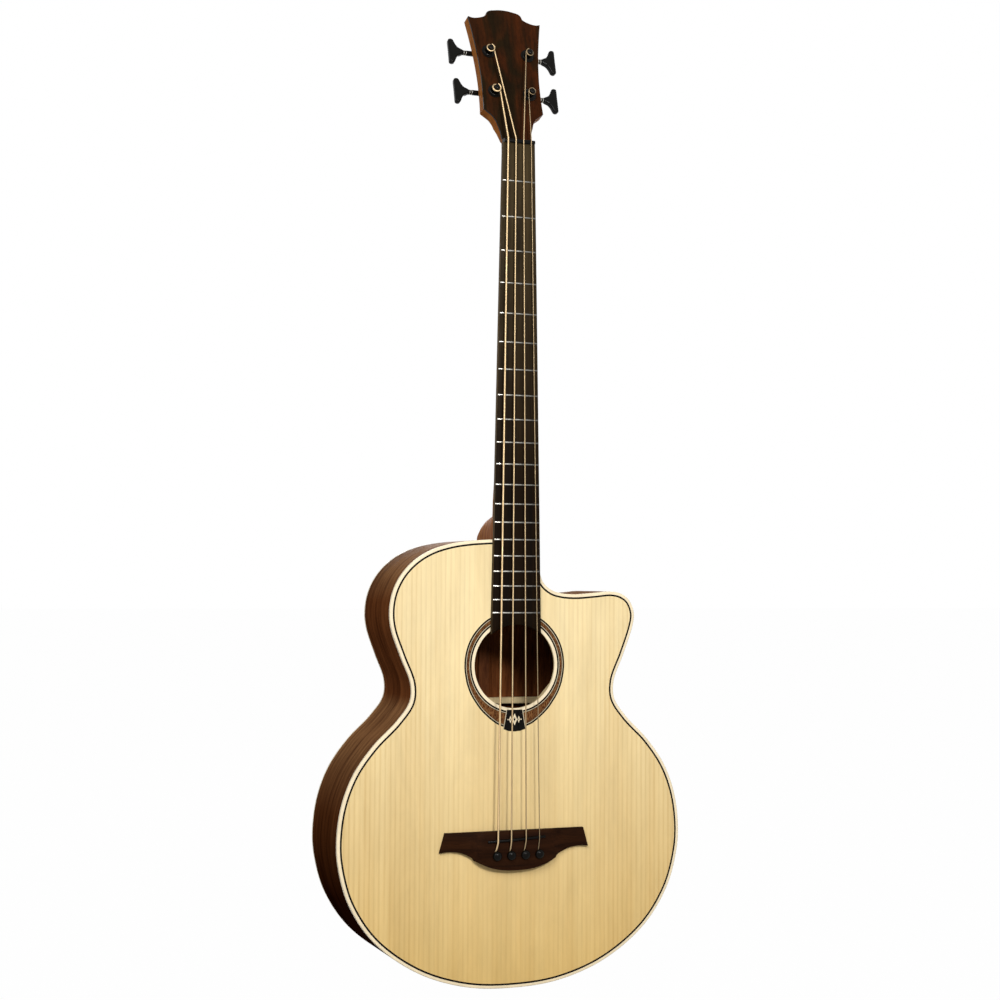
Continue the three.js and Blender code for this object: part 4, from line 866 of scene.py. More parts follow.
class BASS_OT_studio(BassOperator, bpy.types.Operator):
    """Sets up the camera, the lamps, the floor and the surroundings"""

    bl_idname = "bass.studio"
    bl_label = "Studio"

    # Lamps: name, setting of its power, size, place and aim
    lamps = [
        ("soft_lamp", "soft_power", 1.3, (-1.2, -1.7, 1.7), (0, 0, 0.5)),
        ("key_lamp", "key_power", 0.5, (0.15, -2.6, 1.45), (0, 0, 0.4)),
        ("back_lamp", "back_power", 2.2, (0.8, 2.8, 1.9), (0, 0, 0.6)),
    ]
    floor_reach, floor_drop, floor_tints = 30, 0.0005, (0.33, 0.37)

    def execute(self, context):
        light = context.scene.bass_light
        scene = context.scene
        scene.view_settings.view_transform = "Standard"
        camera = bpy.data.objects.new("camera", bpy.data.cameras.new("camera"))
        camera.data.lens = light.lens
        camera.data.sensor_width = 36
        camera.data.clip_end = 100
        camera.location = light.camera_place
        camera.rotation_euler = light.camera_turn
        scene.collection.objects.link(camera)
        scene.camera = camera
        for name, power, size, place, aim in self.lamps:
            lamp = bpy.data.objects.new(name, bpy.data.lights.new(name, "AREA"))
            lamp.data.shape = "DISK"
            lamp.data.size = size
            lamp.data.energy = getattr(light, power)
            lamp.location = place
            lamp.rotation_euler = (Vector(aim) - Vector(place)).to_track_quat("-Z", "Y").to_euler()
            scene.collection.objects.link(lamp)
        self.surroundings(scene, light)
        self.floor(scene, light)
        return {"FINISHED"}

    def seen(self, tree):
        """One where the camera or a clear reflection looks, and nothing elsewhere."""
        path = tree.nodes.new("ShaderNodeLightPath")
        rays = [path.outputs[key] for key in ("Is Camera Ray", "Is Glossy Ray", "Is Transmission Ray")]
        return summed(tree, "MAXIMUM", summed(tree, "MAXIMUM", rays[0], rays[1]), rays[2])

    def surroundings(self, scene, light):
        """A plain white world, weaker where it lights."""
        world = bpy.data.worlds.new("studio")
        world.use_nodes = True
        tree = world.node_tree
        background = tree.nodes["Background"]
        background.inputs["Color"].default_value = (*light.backdrop, 1)
        strength = ranged(tree, self.seen(tree), 0, 1, light.sky, 1)
        tree.links.new(strength, background.inputs["Strength"])
        scene.world = world

    def floor(self, scene, light):
        """A wide white floor that keeps a soft shadow."""
        bm = bmesh.new()
        bmesh.ops.create_grid(bm, x_segments=1, y_segments=1, size=self.floor_reach)
        mesh = bpy.data.meshes.new("floor")
        bm.to_mesh(mesh)
        bm.free()
        floor = bpy.data.objects.new("floor", mesh)
        floor.location.z = -self.floor_drop
        scene.collection.objects.link(floor)
        made, tree, shader, where = material_start("Floor", specular=0)
        shader.inputs["Roughness"].default_value = 1
        patch = ranged(tree, noise(tree, where, 3, 2), 0.3, 0.7)
        tint = Vector(light.backdrop)
        low, high = ((*(tint * share), 1) for share in self.floor_tints)
        tone = mixed(tree, patch, low, high)
        tree.links.new(tone, shader.inputs["Base Color"])
        glow = add(tree, "ShaderNodeEmission", {"Color": (*light.backdrop, 1)})
        share = summed(tree, "MULTIPLY", self.seen(tree), 1 - light.floor_shadow)
        both = add(tree, "ShaderNodeMixShader", {0: share, 1: shader.outputs[0], 2: glow.outputs[0]})
        tree.links.new(both.outputs[0], tree.nodes["Material Output"].inputs["Surface"])
        mesh.materials.append(made)


class BASS_OT_soundboard(BassOperator, bpy.types.Operator):
    """Makes the spruce soundboard and the black line inside its binding"""

    bl_idname = "bass.soundboard"
    bl_label = "Soundboard"

    def execute(self, context):
        size = context.scene.bass_sizes
        line = body_line(mm(size.outline_step))
        edge = mm(size.binding_width) + mm(size.purfling_width)
        bm = bmesh.new()
        plate(bm, [inset_line(line, edge), rosette_line(0)], 0, TOP_THICKNESS)
        band(bm, rosette_line(INLAY_GAP), circle_line(HOLE_RADIUS), ROSETTE_DEPTH, TOP_THICKNESS)
        finished("spruce_top", bm, TO_FRAME, spruce(), replaced=["soundboard"])
        bm = bmesh.new()
        outer, inner = inset_line(line, mm(size.binding_width)), inset_line(line, edge)
        band(bm, outer, inner, -INLAY_PROUD, TOP_THICKNESS)
        finished("top_purfling", bm, TO_FRAME, black_plastic(), replaced=["soundboard"])
        return {"FINISHED"}


class BASS_OT_rosette(BassOperator, bpy.types.Operator):
    """Makes the rosette's rings, its brown band and the small plaque below the hole"""

    bl_idname = "bass.rosette"
    bl_label = "Rosette"

    ring_front, plaque_front, motif_front = -0.01, -0.25, -0.32
    plaque = [(-10, -1.9), (-14.4, -25.9), (-7.5, -28.2), (0, -28.9), (7.5, -28.2), (14.4, -25.9), (10, -1.9)]
    plaque_side = 0.9
    # Motif: place across, half width and half height of each lozenge, then the dots
    lozenges = [(0, 3.4, 7.5), (-5.6, 1.7, 4.6), (5.6, 1.7, 4.6)]
    lozenge_hollow = 0.38
    dots, dot_radius = (-8.7, 8.7), 0.9

    def execute(self, context):
        size = context.scene.bass_sizes
        tone = context.scene.bass_colours
        black, pale, thin = mm(size.black_line), mm(size.pale_line), mm(size.thin_line)
        radii = [HOLE_RADIUS]
        for width in (mm(size.hole_ring), black, pale, thin):
            radii.append(radii[-1] + width)
        inner = [circle_line(radius) for radius in radii]
        outer = [rosette_line(inset) for inset in (0, black, black + pale, black + pale + thin)]
        pale_tone = plain_material("Rosette pale line", tone.pale_line, 0.4)
        rows = [
            ("rosette_hole_ring", [(inner[1], inner[0])], binding_plastic(), "pale_binding"),
            ("rosette_black_lines", [
                (inner[2], inner[1]), (inner[4], inner[3]), (outer[0], outer[1]), (outer[2], outer[3]),
            ], black_plastic(), "black_plastic"),
            ("rosette_pale_lines", [(inner[3], inner[2]), (outer[1], outer[2])], pale_tone, "pale_binding"),
            ("rosette_band", [(outer[3], inner[4])], self.band_wood(tone), "rosette_wood"),
        ]
        for name, bands, material, slot in rows:
            bm = bmesh.new()
            for far, near in bands:
                band(bm, far, near, self.ring_front, ROSETTE_DEPTH)
            finished(name, bm, TO_FRAME, material, replaced=["rosette"])
        self.make_plaque(pale_tone)
        return {"FINISHED"}

    def band_wood(self, tone):
        """Brown band with slanting light flecks."""
        made, tree, shader, where = material_start("Rosette band", specular=0.04)
        place = add(tree, "ShaderNodeMapping", {
            "Vector": where, "Rotation": (0, math.radians(45), 0), "Scale": (900, 900, 260),
        })
        flecks = ranged(tree, noise(tree, place.outputs[0], 1, 2), 0.42, 0.62)
        wood = mixed(tree, flecks, (*tone.rosette_dark, 1), (*tone.rosette_light, 1))
        tree.links.new(wood, shader.inputs["Base Color"])
        polished(tree, shader, where, 0.3, 0.45)
        bumped(tree, shader, flecks, 0.1, 0.0002)
        return made

    def make_plaque(self, pale):
        """Black plaque with pale sides, three lozenges and two dots."""
        line = [Vector((x, HOLE_Z - HOLE_RADIUS + z)) for x, z in self.plaque]
        bm = bmesh.new()
        plate(bm, [line], self.plaque_front, ROSETTE_DEPTH)
        finished("rosette_plaque", bm, TO_FRAME, black_plastic(), replaced=["rosette"])
        bm = bmesh.new()
        centre = line[0].lerp(line[1], 0.5).y
        for side in (-1, 1):
            high, low = (
                Vector((side * x, HOLE_Z - HOLE_RADIUS + z)) for x, z in (self.plaque[-1], self.plaque[-2])
            )
            wide = Vector((side * self.plaque_side, 0))
            plate(bm, [[high, low, low + wide, high + wide]], self.plaque_front, ROSETTE_DEPTH)
        finished("plaque_sides", bm, TO_FRAME, pale, replaced=["rosette"])
        bm = bmesh.new()
        for x, wide, tall in self.lozenges:
            lozenge = [Vector((0, tall)), Vector((wide, 0)), Vector((0, -tall)), Vector((-wide, 0))]
            middle = Vector((x, centre))
            hollow = [p * self.lozenge_hollow + middle for p in lozenge]
            band(bm, [p + middle for p in lozenge], hollow, self.motif_front, 0)
        front, radius = self.motif_front, self.dot_radius
        for x in self.dots:
            place = Matrix.Translation((x, 0, centre)) @ Matrix.Rotation(-math.pi / 2, 4, "X")
            turned(bm, [(0, front), (radius, front), (radius, 0), (0, 0)], 20, place)
        finished("plaque_motif", bm, TO_FRAME, binding_plastic(), replaced=["rosette"])


class BASS_OT_sides(BassOperator, bpy.types.Operator):
    """Makes the bass and treble sides with their linings"""

    bl_idname = "bass.sides"
    bl_label = "Sides"

    def execute(self, context):
        size = context.scene.bass_sizes
        line = body_line(mm(size.outline_step))
        edge, lap = mm(size.binding_height) + GLUE_LINE, mm(size.binding_width) + 2 * GLUE_LINE
        inner, lining = SIDE_THICKNESS, SIDE_THICKNESS + LINING_WIDTH
        front, back = TOP_THICKNESS + SEAM, -BACK_THICKNESS - SEAM
        shy, slope = 0.03, 1
        section = [
            (shy, 0, edge), (0, 0, edge + slope), (0, 0.5, 0), (0, 1, -edge - slope), (shy, 1, -edge),
            (lap, 1, -edge), (lap, 1, back), (lining, 1, back), (lining, 1, back - LINING_FLAT),
            (inner, 1, back - LINING_DEPTH), (inner, 0, front + LINING_DEPTH),
            (lining, 0, front + LINING_FLAT), (lining, 0, front), (lap, 0, front), (lap, 0, edge),
        ]
        for side, name, node in ((-1, "bass_side", "side_bass"), (1, "treble_side", "side_treble")):
            bm = bmesh.new()
            sweep(bm, line, section)
            sliced(bm, (side * SEAM / 2, 0, 0), (side, 0, 0), cleared=True)
            finished(name, bm, TO_FRAME, mahogany(), replaced=[node])
        return {"FINISHED"}


class BASS_OT_back(BassOperator, bpy.types.Operator):
    """Makes the arched back in two matched halves"""

    bl_idname = "bass.back"
    bl_label = "Back"

    def execute(self, context):
        size = context.scene.bass_sizes
        line = inset_line(body_line(mm(size.outline_step)), mm(size.binding_width) + GLUE_LINE)
        bm = bmesh.new()
        bmesh.ops.contextual_create(bm, geom=ring(bm, [(p.x, 0, p.y) for p in line]))
        across, along = int(LOWER_HALF // BACK_CUT_ACROSS), int(BODY_LENGTH // BACK_CUT_ALONG)
        cut(bm, [k * BACK_CUT_ACROSS for k in range(-across, across + 1)], (1, 0, 0))
        cut(bm, [TAIL_Z + k * BACK_CUT_ALONG for k in range(1, along)], (0, 0, 1))
        inside = set(thicken(bm, bm.faces[:], (0, -1, 0)))
        for vert in bm.verts:
            thickness = BACK_THICKNESS if vert in inside else 0
            vert.co.y = back_at(vert.co.x, vert.co.z) - thickness
        tone = context.scene.bass_colours
        wood = wood_material(
            "Mahogany back", tone.mahogany_light, tone.mahogany_dark, tone.mahogany_dark, (75, 75, 4),
            0.34, rings=0.25, ring_scale=1.3, pores=0.55, specular=0.02, bump=0.12, book=True,
        )
        finished("arched_back", bm, TO_FRAME, wood, replaced=["back"])
        return {"FINISHED"}


class BASS_OT_bindings(BassOperator, bpy.types.Operator):
    """Makes the pale bindings round the top and the back"""

    bl_idname = "bass.bindings"
    bl_label = "Bindings"

    def execute(self, context):
        size = context.scene.bass_sizes
        line = body_line(mm(size.outline_step))
        wide, high, round_off = mm(size.binding_width), mm(size.binding_height), mm(size.binding_round)
        corner = [(0, 1), (0.1, 0.6), (0.35, 0.3), (0.6, 0.1), (1, 0)]
        for node, share, way in (("top_binding", 0, 1), ("back_binding", 1, -1)):
            bm = bmesh.new()
            rows = [(inset * round_off, share, way * depth * round_off) for inset, depth in corner]
            far = (wide, share, way * high)
            sweep(bm, line, [(0, share, way * high), *rows, (wide, share, 0), far])
            name = node.replace("_", "_edge_")
            finished(name, bm, TO_FRAME, binding_plastic(), replaced=[node])
        return {"FINISHED"}


class BASS_OT_inside(BassOperator, bpy.types.Operator):
    """Finishes the blocks, braces, bridge plate and truss rod inside"""

    bl_idname = "bass.inside"
    bl_label = "Inside woodwork"

    def execute(self, context):
        tone = context.scene.bass_colours
        block = wood_material(
            "Block mahogany", tone.neck_light, tone.neck_dark, tone.neck_dark, (60, 60, 5), 0.6,
            rings=0.2, pores=0.5,
        )
        steel = plain_material("Truss rod steel", tone.fret, 0.35, metallic=1.0, scale=200)
        finishes = {
            "neck_block": block, "tail_block": block, "top_bracing": brace_wood(),
            "bridge_plate": bridge_wood(), "truss_rod": steel,
        }
        for name, material in finishes.items():
            for slot in nodes[name].material_slots:
                slot.link = "OBJECT"
                slot.material = material
        self.back_braces(tone)
        return {"FINISHED"}

    def back_braces(self, tone):
        """Ladder braces and the flat strip along the back's joint."""
        line = inset_line(body_line(BRACE_LINE_STEP), SIDE_THICKNESS + BRACE_END_GAP)
        bm = bmesh.new()
        for share in BACK_BRACES:
            z = TAIL_Z + BODY_LENGTH * share
            ends = []
            for side in (-1, 1):
                crossed = [a.lerp(b, (z - a.y) / (b.y - a.y)).x for a, b in zip(line, line[1:])
                           if (a.y - z) * (b.y - z) < 0]
                ends.append(side * max(side * x for x in crossed))
            rings = []
            for k in range(BRACE_STEPS + 1):
                x = ends[0] + (ends[1] - ends[0]) * k / BRACE_STEPS
                base = back_at(x, z) - BACK_THICKNESS
                crest = base - between(BRACE_HEIGHTS, min(k, BRACE_STEPS - k))
                shoulder = crest + BRACE_SHOULDER
                rings.append([
                    (x, base, z - BRACE_HALF), (x, base, z + BRACE_HALF), (x, shoulder, z + BRACE_HALF),
                    (x, crest, z + BRACE_CREST_HALF), (x, crest, z - BRACE_CREST_HALF),
                    (x, shoulder, z - BRACE_HALF),
                ])
            loft(bm, rings)
        wood = brace_wood()
        finished("back_ladder_braces", bm, TO_FRAME, wood, replaced=["back_bracing"])
        bm = bmesh.new()
        rings = []
        for k in range(STRIP_STEPS + 1):
            z = TAIL_Z + STRIP_START + STRIP_LENGTH * k / STRIP_STEPS
            base = back_at(0, z) - BACK_THICKNESS
            crest = base - STRIP_THICKNESS
            rings.append([
                (-STRIP_HALF, base, z), (STRIP_HALF, base, z), (STRIP_CREST_HALF, crest, z),
                (-STRIP_CREST_HALF, crest, z),
            ])
        loft(bm, rings)
        strip = wood_material(
            "Strip mahogany", tone.mahogany_light, tone.mahogany_dark, tone.mahogany_dark, (60, 60, 8),
            0.6, rings=0.2, pores=0.5,
        )
        finished("back_joint_strip", bm, TO_FRAME, strip, replaced=["back_bracing"])


def rounded_rows(bm, rows):
    """A skin through half-round sections: straight from side to side in front, curved behind."""
    rings = []
    for front, back, half, squareness in rows:
        points = []
        for k in range(NECK_SECTION_STEPS + 1):
            angle = math.pi * k / NECK_SECTION_STEPS
            across = abs(math.cos(angle)) ** (2 / squareness) * (1 if angle < math.pi / 2 else -1)
            deep = max(0, math.sin(angle)) ** (2 / squareness)
            points.append(front.lerp(back, deep) + Vector((half * across, 0, 0)))
        rings.append(points)
    loft(bm, rings)


def head_line():
    """The headstock's edge as points across and up it."""
    def scaled(points, side):
        return [(side * x * HEAD_HALF, rise * HEAD_LENGTH) for x, rise in points]

    crest = scaled(HEAD_CREST, 1) + scaled(HEAD_CREST[:-1], -1)[::-1]
    parts = [scaled(HEAD_NECK_SIDE, 1), scaled(HEAD_FLANK, 1), crest]
    parts += [scaled(HEAD_FLANK, -1)[::-1], scaled(HEAD_NECK_SIDE, -1)[::-1]]
    return [p for part in parts for p in smooth_line(part, HEAD_STEP)] + [Vector(parts[-1][-1])]


def edges_at(edges, height):
    """Those of the edges that lie at one height."""
    return [e for e in edges if all(abs(v.co.z - height) < 1e-4 for v in e.verts)]


def head_plate(bm, low, high, lowest, rounding=0.0):
    """A slab of the headstock's outline between two heights, cut off below."""
    edges = ring(bm, [(p.x, p.y, high) for p in head_line()])
    bmesh.ops.triangle_fill(bm, use_beauty=True, use_dissolve=True, edges=edges)
    thicken(bm, bm.faces[:], (0, 0, low - high))
    sliced(bm, (0, lowest, 0), (0, 1, 0), cleared=True)
    if rounding:
        soften(bm, edges_at(sharp_edges(bm), high), rounding)


class BASS_OT_neck(BassOperator, bpy.types.Operator):
    """Makes the neck with its heel and the headstock's core"""

    bl_idname = "bass.neck"
    bl_label = "Neck"

    def execute(self, context):
        bm = bmesh.new()
        rows = [
            (Vector((0, y0, SHOULDER_Z + z0)), Vector((0, y1, SHOULDER_Z + z1)), half, NECK_SQUARENESS)
            for (z0, y0), (z1, y1), half in NECK_ROWS
        ]
        to_local = TO_FRAME.inverted() @ TO_HEAD
        ends = Vector((0, *NECK_END_FRONT)), Vector((0, *NECK_END_BACK))
        rows.append((*ends, NECK_END_HALF, NECK_SQUARENESS))
        for rise, half, squareness in THROAT_ROWS:
            ends = [to_local @ Vector((0, rise, height)) for height in (HEAD_CORE_FRONT, HEAD_CORE_BACK)]
            rows.append((*ends, half, squareness))
        rounded_rows(bm, rows)
        neck = finished("neck_wood", bm, TO_FRAME, neck_mahogany(), replaced=["neck"])
        bm = bmesh.new()
        head_plate(bm, HEAD_CORE_BACK, HEAD_CORE_FRONT, THROAT_ROWS[-2][0])
        soften(bm, edges_at(sharp_edges(bm, 60), HEAD_CORE_BACK), HEAD_CORE_ROUNDING, 3)
        core = finished("head_core", bm, TO_HEAD, neck_mahogany(), replaced=["neck"])
        join = neck.modifiers.new("join", "BOOLEAN")
        join.operation, join.solver, join.object = "UNION", "EXACT", core
        whole = neck.evaluated_get(context.evaluated_depsgraph_get())
        mesh = bpy.data.meshes.new_from_object(whole)
        neck.modifiers.clear()
        neck.data = mesh
        bpy.data.objects.remove(core)
        bm = bmesh.new()
        bm.from_mesh(mesh)
        bmesh.ops.remove_doubles(bm, verts=bm.verts[:], dist=1e-6)
        for edge in bm.edges:
            edge.smooth = True
        for edge in sharp_edges(bm):
            edge.smooth = False
        bm.to_mesh(mesh)
        bm.free()
        return {"FINISHED"}


class BASS_OT_veneer(BassOperator, bpy.types.Operator):
    """Makes the headstock's dark veneer and the black line under it"""

    bl_idname = "bass.veneer"
    bl_label = "Headstock veneer"

    def execute(self, context):
        tone = context.scene.bass_colours
        bm = bmesh.new()
        head_plate(bm, VENEER_BACK, 0, VENEER_START, VENEER_ROUNDING)
        veneer = self.streaked(tone)
        finished("head_veneer", bm, TO_HEAD, veneer, replaced=["headstock_veneer"])
        bm = bmesh.new()
        head_plate(bm, HEAD_CORE_FRONT, VENEER_BACK, VENEER_START)
        black = plain_material("Black veneer line", tone.black, 0.4, specular=0.15, spread=0.2)
        finished("head_black_line", bm, TO_HEAD, black, replaced=["headstock_veneer"])
        return {"FINISHED"}

    def streaked(self, tone):
        """Dark wood in broad upright streaks of black, olive and red-brown."""
        made, tree, shader, where = material_start("Streaked veneer", specular=0.01)
        place = add(tree, "ShaderNodeMapping", {"Vector": where, "Scale": (75, 75, 3.4)}).outputs[0]
        broad = noise(tree, place, 0.6, 2, 0.5, 0.6)
        across = add(tree, "ShaderNodeSeparateXYZ", {0: where}).outputs[0]
        redness = summed(tree, "ADD", ranged(tree, broad, 0.38, 0.62), summed(tree, "MULTIPLY", across, 9))
        warm = mixed(tree, ranged(tree, redness, 0.1, 0.9), (*tone.veneer_olive, 1), (*tone.veneer_brown, 1))
        grain = add(tree, "ShaderNodeGroup", {"Vector": place, "Light": warm}, node_tree=grain_group())
        for key, value in (("Dark", tone.veneer_black), ("Ring", tone.veneer_black)):
            grain.inputs[key].default_value = (*value, 1)
        for key, value in (("Streaks", 0.7), ("Rings", 0.25), ("Ring scale", 0.7), ("Pores", 0.35)):
            grain.inputs[key].default_value = value
        tree.links.new(grain.outputs["Color"], shader.inputs["Base Color"])
        polished(tree, shader, where, 0.36, 0.5)
        bumped(tree, shader, grain.outputs["Height"], 0.15, 0.0003)
        return made


class BASS_OT_fretboard(BassOperator, bpy.types.Operator):
    """Makes the arched fretboard, hollowed at the sound hole"""

    bl_idname = "bass.fretboard"
    bl_label = "Fretboard"

    def execute(self, context):
        bm = bmesh.new()
        bmesh.ops.create_grid(bm, x_segments=16, y_segments=60, size=1)
        reach = HOLE_RADIUS - BOARD_OVERHANG
        for vert in bm.verts:
            u, w = vert.co.x, (1 - vert.co.y) / 2
            end = HOLE_Z + math.sqrt(reach ** 2 - (u * BOARD_END_WIDTH / 2) ** 2)
            z = w * end
            x = u * board_half(z)
            vert.co = (x, BOARD_TOP + crown(x), z)
        for vert in thicken(bm, bm.faces[:], (0, 1, 0)):
            vert.co.y = -SEAM
        rim = [e for e in sharp_edges(bm, 45) if max(v.co.y for v in e.verts) < BOARD_TOP / 2]
        soften(bm, rim, BOARD_ROUNDING)
        bmesh.ops.recalc_face_normals(bm, faces=bm.faces[:])
        for face in bm.faces:
            face.material_index = int(abs(face.normal.x) > 0.8)
        woods = [board_wood(), board_edge_wood()]
        finished("fretboard_wood", bm, TO_FRAME, woods, replaced=["fretboard"])
        return {"FINISHED"}


class BASS_OT_frets(BassOperator, bpy.types.Operator):
    """Makes the twenty frets with rounded crowns and dressed ends"""

    bl_idname = "bass.frets"
    bl_label = "Frets"

    def execute(self, context):
        half_width = mm(context.scene.bass_sizes.fret_width) / 2
        stations = [(-share, scale) for share, scale in reversed(FRET_END)] + [(0, 1)] + FRET_END
        angles = [math.pi * k / FRET_ROUND_STEPS for k in range(FRET_ROUND_STEPS + 1)]
        for number in range(1, FRET_COUNT + 1):
            bm = bmesh.new()
            z = fret_z(number)
            half = board_half(z) - FRET_END_GAP
            rings = []
            for share, scale in stations:
                x = half * share
                foot, rise = BOARD_TOP + crown(x) + FRET_SINK, (FRET_HEIGHT + FRET_SINK) * scale
                rings.append([(x, foot - rise * math.sin(a), z + half_width * math.cos(a)) for a in angles])
            loft(bm, rings)
            piece, node = f"fret_wire_{number:02d}", f"fret_{number:02d}"
            finished(piece, bm, TO_FRAME, fret_metal(), replaced=[node])
        return {"FINISHED"}


def string_x(index, spacing):
    """Place of a string across the instrument."""
    return (index - 1.5) * spacing


def string_at_nut(index):
    """Middle of a string where it leaves the nut towards the headstock."""
    x, radius = string_x(index, NUT_SPACING) + NUT_SHIFT, STRINGS[index][1] / 2
    return Vector((x, BOARD_TOP - FRET_HEIGHT - NUT_CLEARANCE + crown(x) - radius, NUT_LENGTH))


def crossbar(bm, top_at, foot, thickness, stations, shoulder):
    """A bar across the strings whose rounded top follows a function of X."""
    half = thickness / 2
    right = [(share * half, drop * shoulder) for share, drop in BAR_TOP]
    profile = [(-across, drop) for across, drop in right] + right[::-1]
    rings = []
    for x in sorted(stations):
        top = top_at(x)
        rounded = [(x, top + drop, across) for across, drop in profile]
        rings.append([(x, foot, -half), *rounded, (x, foot, half)])
    loft(bm, rings)


class BASS_OT_nut(BassOperator, bpy.types.Operator):
    """Makes the slotted nut and the arched saddle"""

    bl_idname = "bass.nut_and_saddle"
    bl_label = "Nut and saddle"

    def execute(self, context):
        grooves = [
            (string_at_nut(index), thick / 2 + GROOVE_CLEARANCE)
            for index, (_, thick, _) in enumerate(STRINGS)
        ]

        def nut_top(x):
            top = BOARD_TOP - NUT_RISE + crown(x)
            for centre, radius in grooves:
                away = abs(x - centre.x)
                if away < radius:
                    top = max(top, centre.y + math.sqrt(radius ** 2 - away ** 2))
            return top

        steps = int(NUT_HALF // NUT_STEP)
        stations = {k * NUT_STEP for k in range(-steps, steps + 1)}
        for side in (-1, 1):
            stations |= {side * NUT_HALF, side * (NUT_HALF - NUT_END_STEP)}
        for centre, radius in grooves:
            stations |= {centre.x + radius * share for share in GROOVE_SHARES}
        bm = bmesh.new()
        crossbar(bm, nut_top, -SEAM, NUT_LENGTH - SEAM, stations, NUT_SHOULDER)
        bmesh.ops.translate(bm, verts=bm.verts[:], vec=(0, 0, (NUT_LENGTH - SEAM) / 2))
        finished("nut_bar", bm, TO_FRAME, black_plastic(), replaced=["nut"])
        bm = bmesh.new()
        stations = [SADDLE_HALF_LENGTH * k / SADDLE_STEPS for k in range(-SADDLE_STEPS, SADDLE_STEPS + 1)]
        crossbar(
            bm, lambda x: SADDLE_TOP + crown(x), SADDLE_FOOT, SADDLE_THICKNESS, stations, SADDLE_SHOULDER,
        )
        place = TO_FRAME @ Matrix.Translation((0, 0, SADDLE_Z)) @ Matrix.Rotation(-SADDLE_ANGLE, 4, "Y")
        finished("saddle_bar", bm, place, black_plastic(), replaced=["saddle"])
        return {"FINISHED"}


class BASS_OT_bridge(BassOperator, bpy.types.Operator):
    """Makes the bridge with its raised middle and low wings"""

    bl_idname = "bass.bridge"
    bl_label = "Bridge"

    def execute(self, context):
        right = [(x * BRIDGE_HALF, BRIDGE_TOP_Z - drop * BRIDGE_LENGTH) for x, drop in BRIDGE_EDGE]
        belly = right[1:] + [(-x, z) for x, z in right[1:-1]][::-1]
        corners = [Vector(belly[-1]), Vector((-right[0][0], right[0][1]))]
        line = [Vector(right[0])] + smooth_line(belly, FINE_STEP) + corners
        bm = bmesh.new()
        edges = ring(bm, [(p.x, -SEAM, p.y) for p in line])
        bmesh.ops.contextual_create(bm, geom=edges)
        steps = int(BRIDGE_HALF // BRIDGE_CUT)
        cut(bm, [k * BRIDGE_CUT for k in range(-steps, steps + 1)], (1, 0, 0))
        top = thicken(bm, bm.faces[:], (0, -1, 0))
        for vert in top:
            vert.co.y = -SEAM - BRIDGE_THICKNESS * self.height(abs(vert.co.x) / BRIDGE_HALF)
        upper = -BRIDGE_THICKNESS / 4
        rim = [e for e in sharp_edges(bm, 60) if all(v.co.y < upper for v in e.verts)]
        soften(bm, rim, BRIDGE_ROUNDING)
        wood = bridge_wood()
        finished("bridge_wood", bm, TO_FRAME, wood, replaced=["bridge"], sharp=30)
        return {"FINISHED"}

    def height(self, share):
        """The bridge's height as a share, eased between the rows of its table."""
        nearby = [between(BRIDGE_PROFILE, max(0, share + k * BRIDGE_EASE)) for k in range(-2, 3)]
        return sum(nearby) / len(nearby)


class BASS_OT_pins(BassOperator, bpy.types.Operator):
    """Makes the four domed bridge pins"""

    bl_idname = "bass.pins"
    bl_label = "Bridge pins"

    def execute(self, context):
        radius = mm(context.scene.bass_sizes.pin_radius)
        angles = [math.pi / 2 * k / PIN_DOME_STEPS for k in range(PIN_DOME_STEPS)]
        dome = [(radius * math.cos(a), PIN_DOME_START + PIN_DOME_HEIGHT * math.sin(a)) for a in angles]
        foot = [(radius * share, height) for share, height in PIN_HEAD_FOOT]
        profile = PIN_STEM + foot + dome + [(0, PIN_DOME_START + PIN_DOME_HEIGHT)]
        for index, (name, _, _) in enumerate(STRINGS):
            bm = bmesh.new()
            middle = string_x(index, BRIDGE_SPACING) + PIN_SHIFT, -SEAM * 2 - BRIDGE_THICKNESS, PIN_Z
            turned(bm, profile, 40, Matrix.Translation(middle) @ Matrix.Rotation(math.pi / 2, 4, "X"))
            node = f"bridge_pin_{name}"
            finished(f"pin_{name}", bm, TO_FRAME, black_plastic(), replaced=[node])
        return {"FINISHED"}


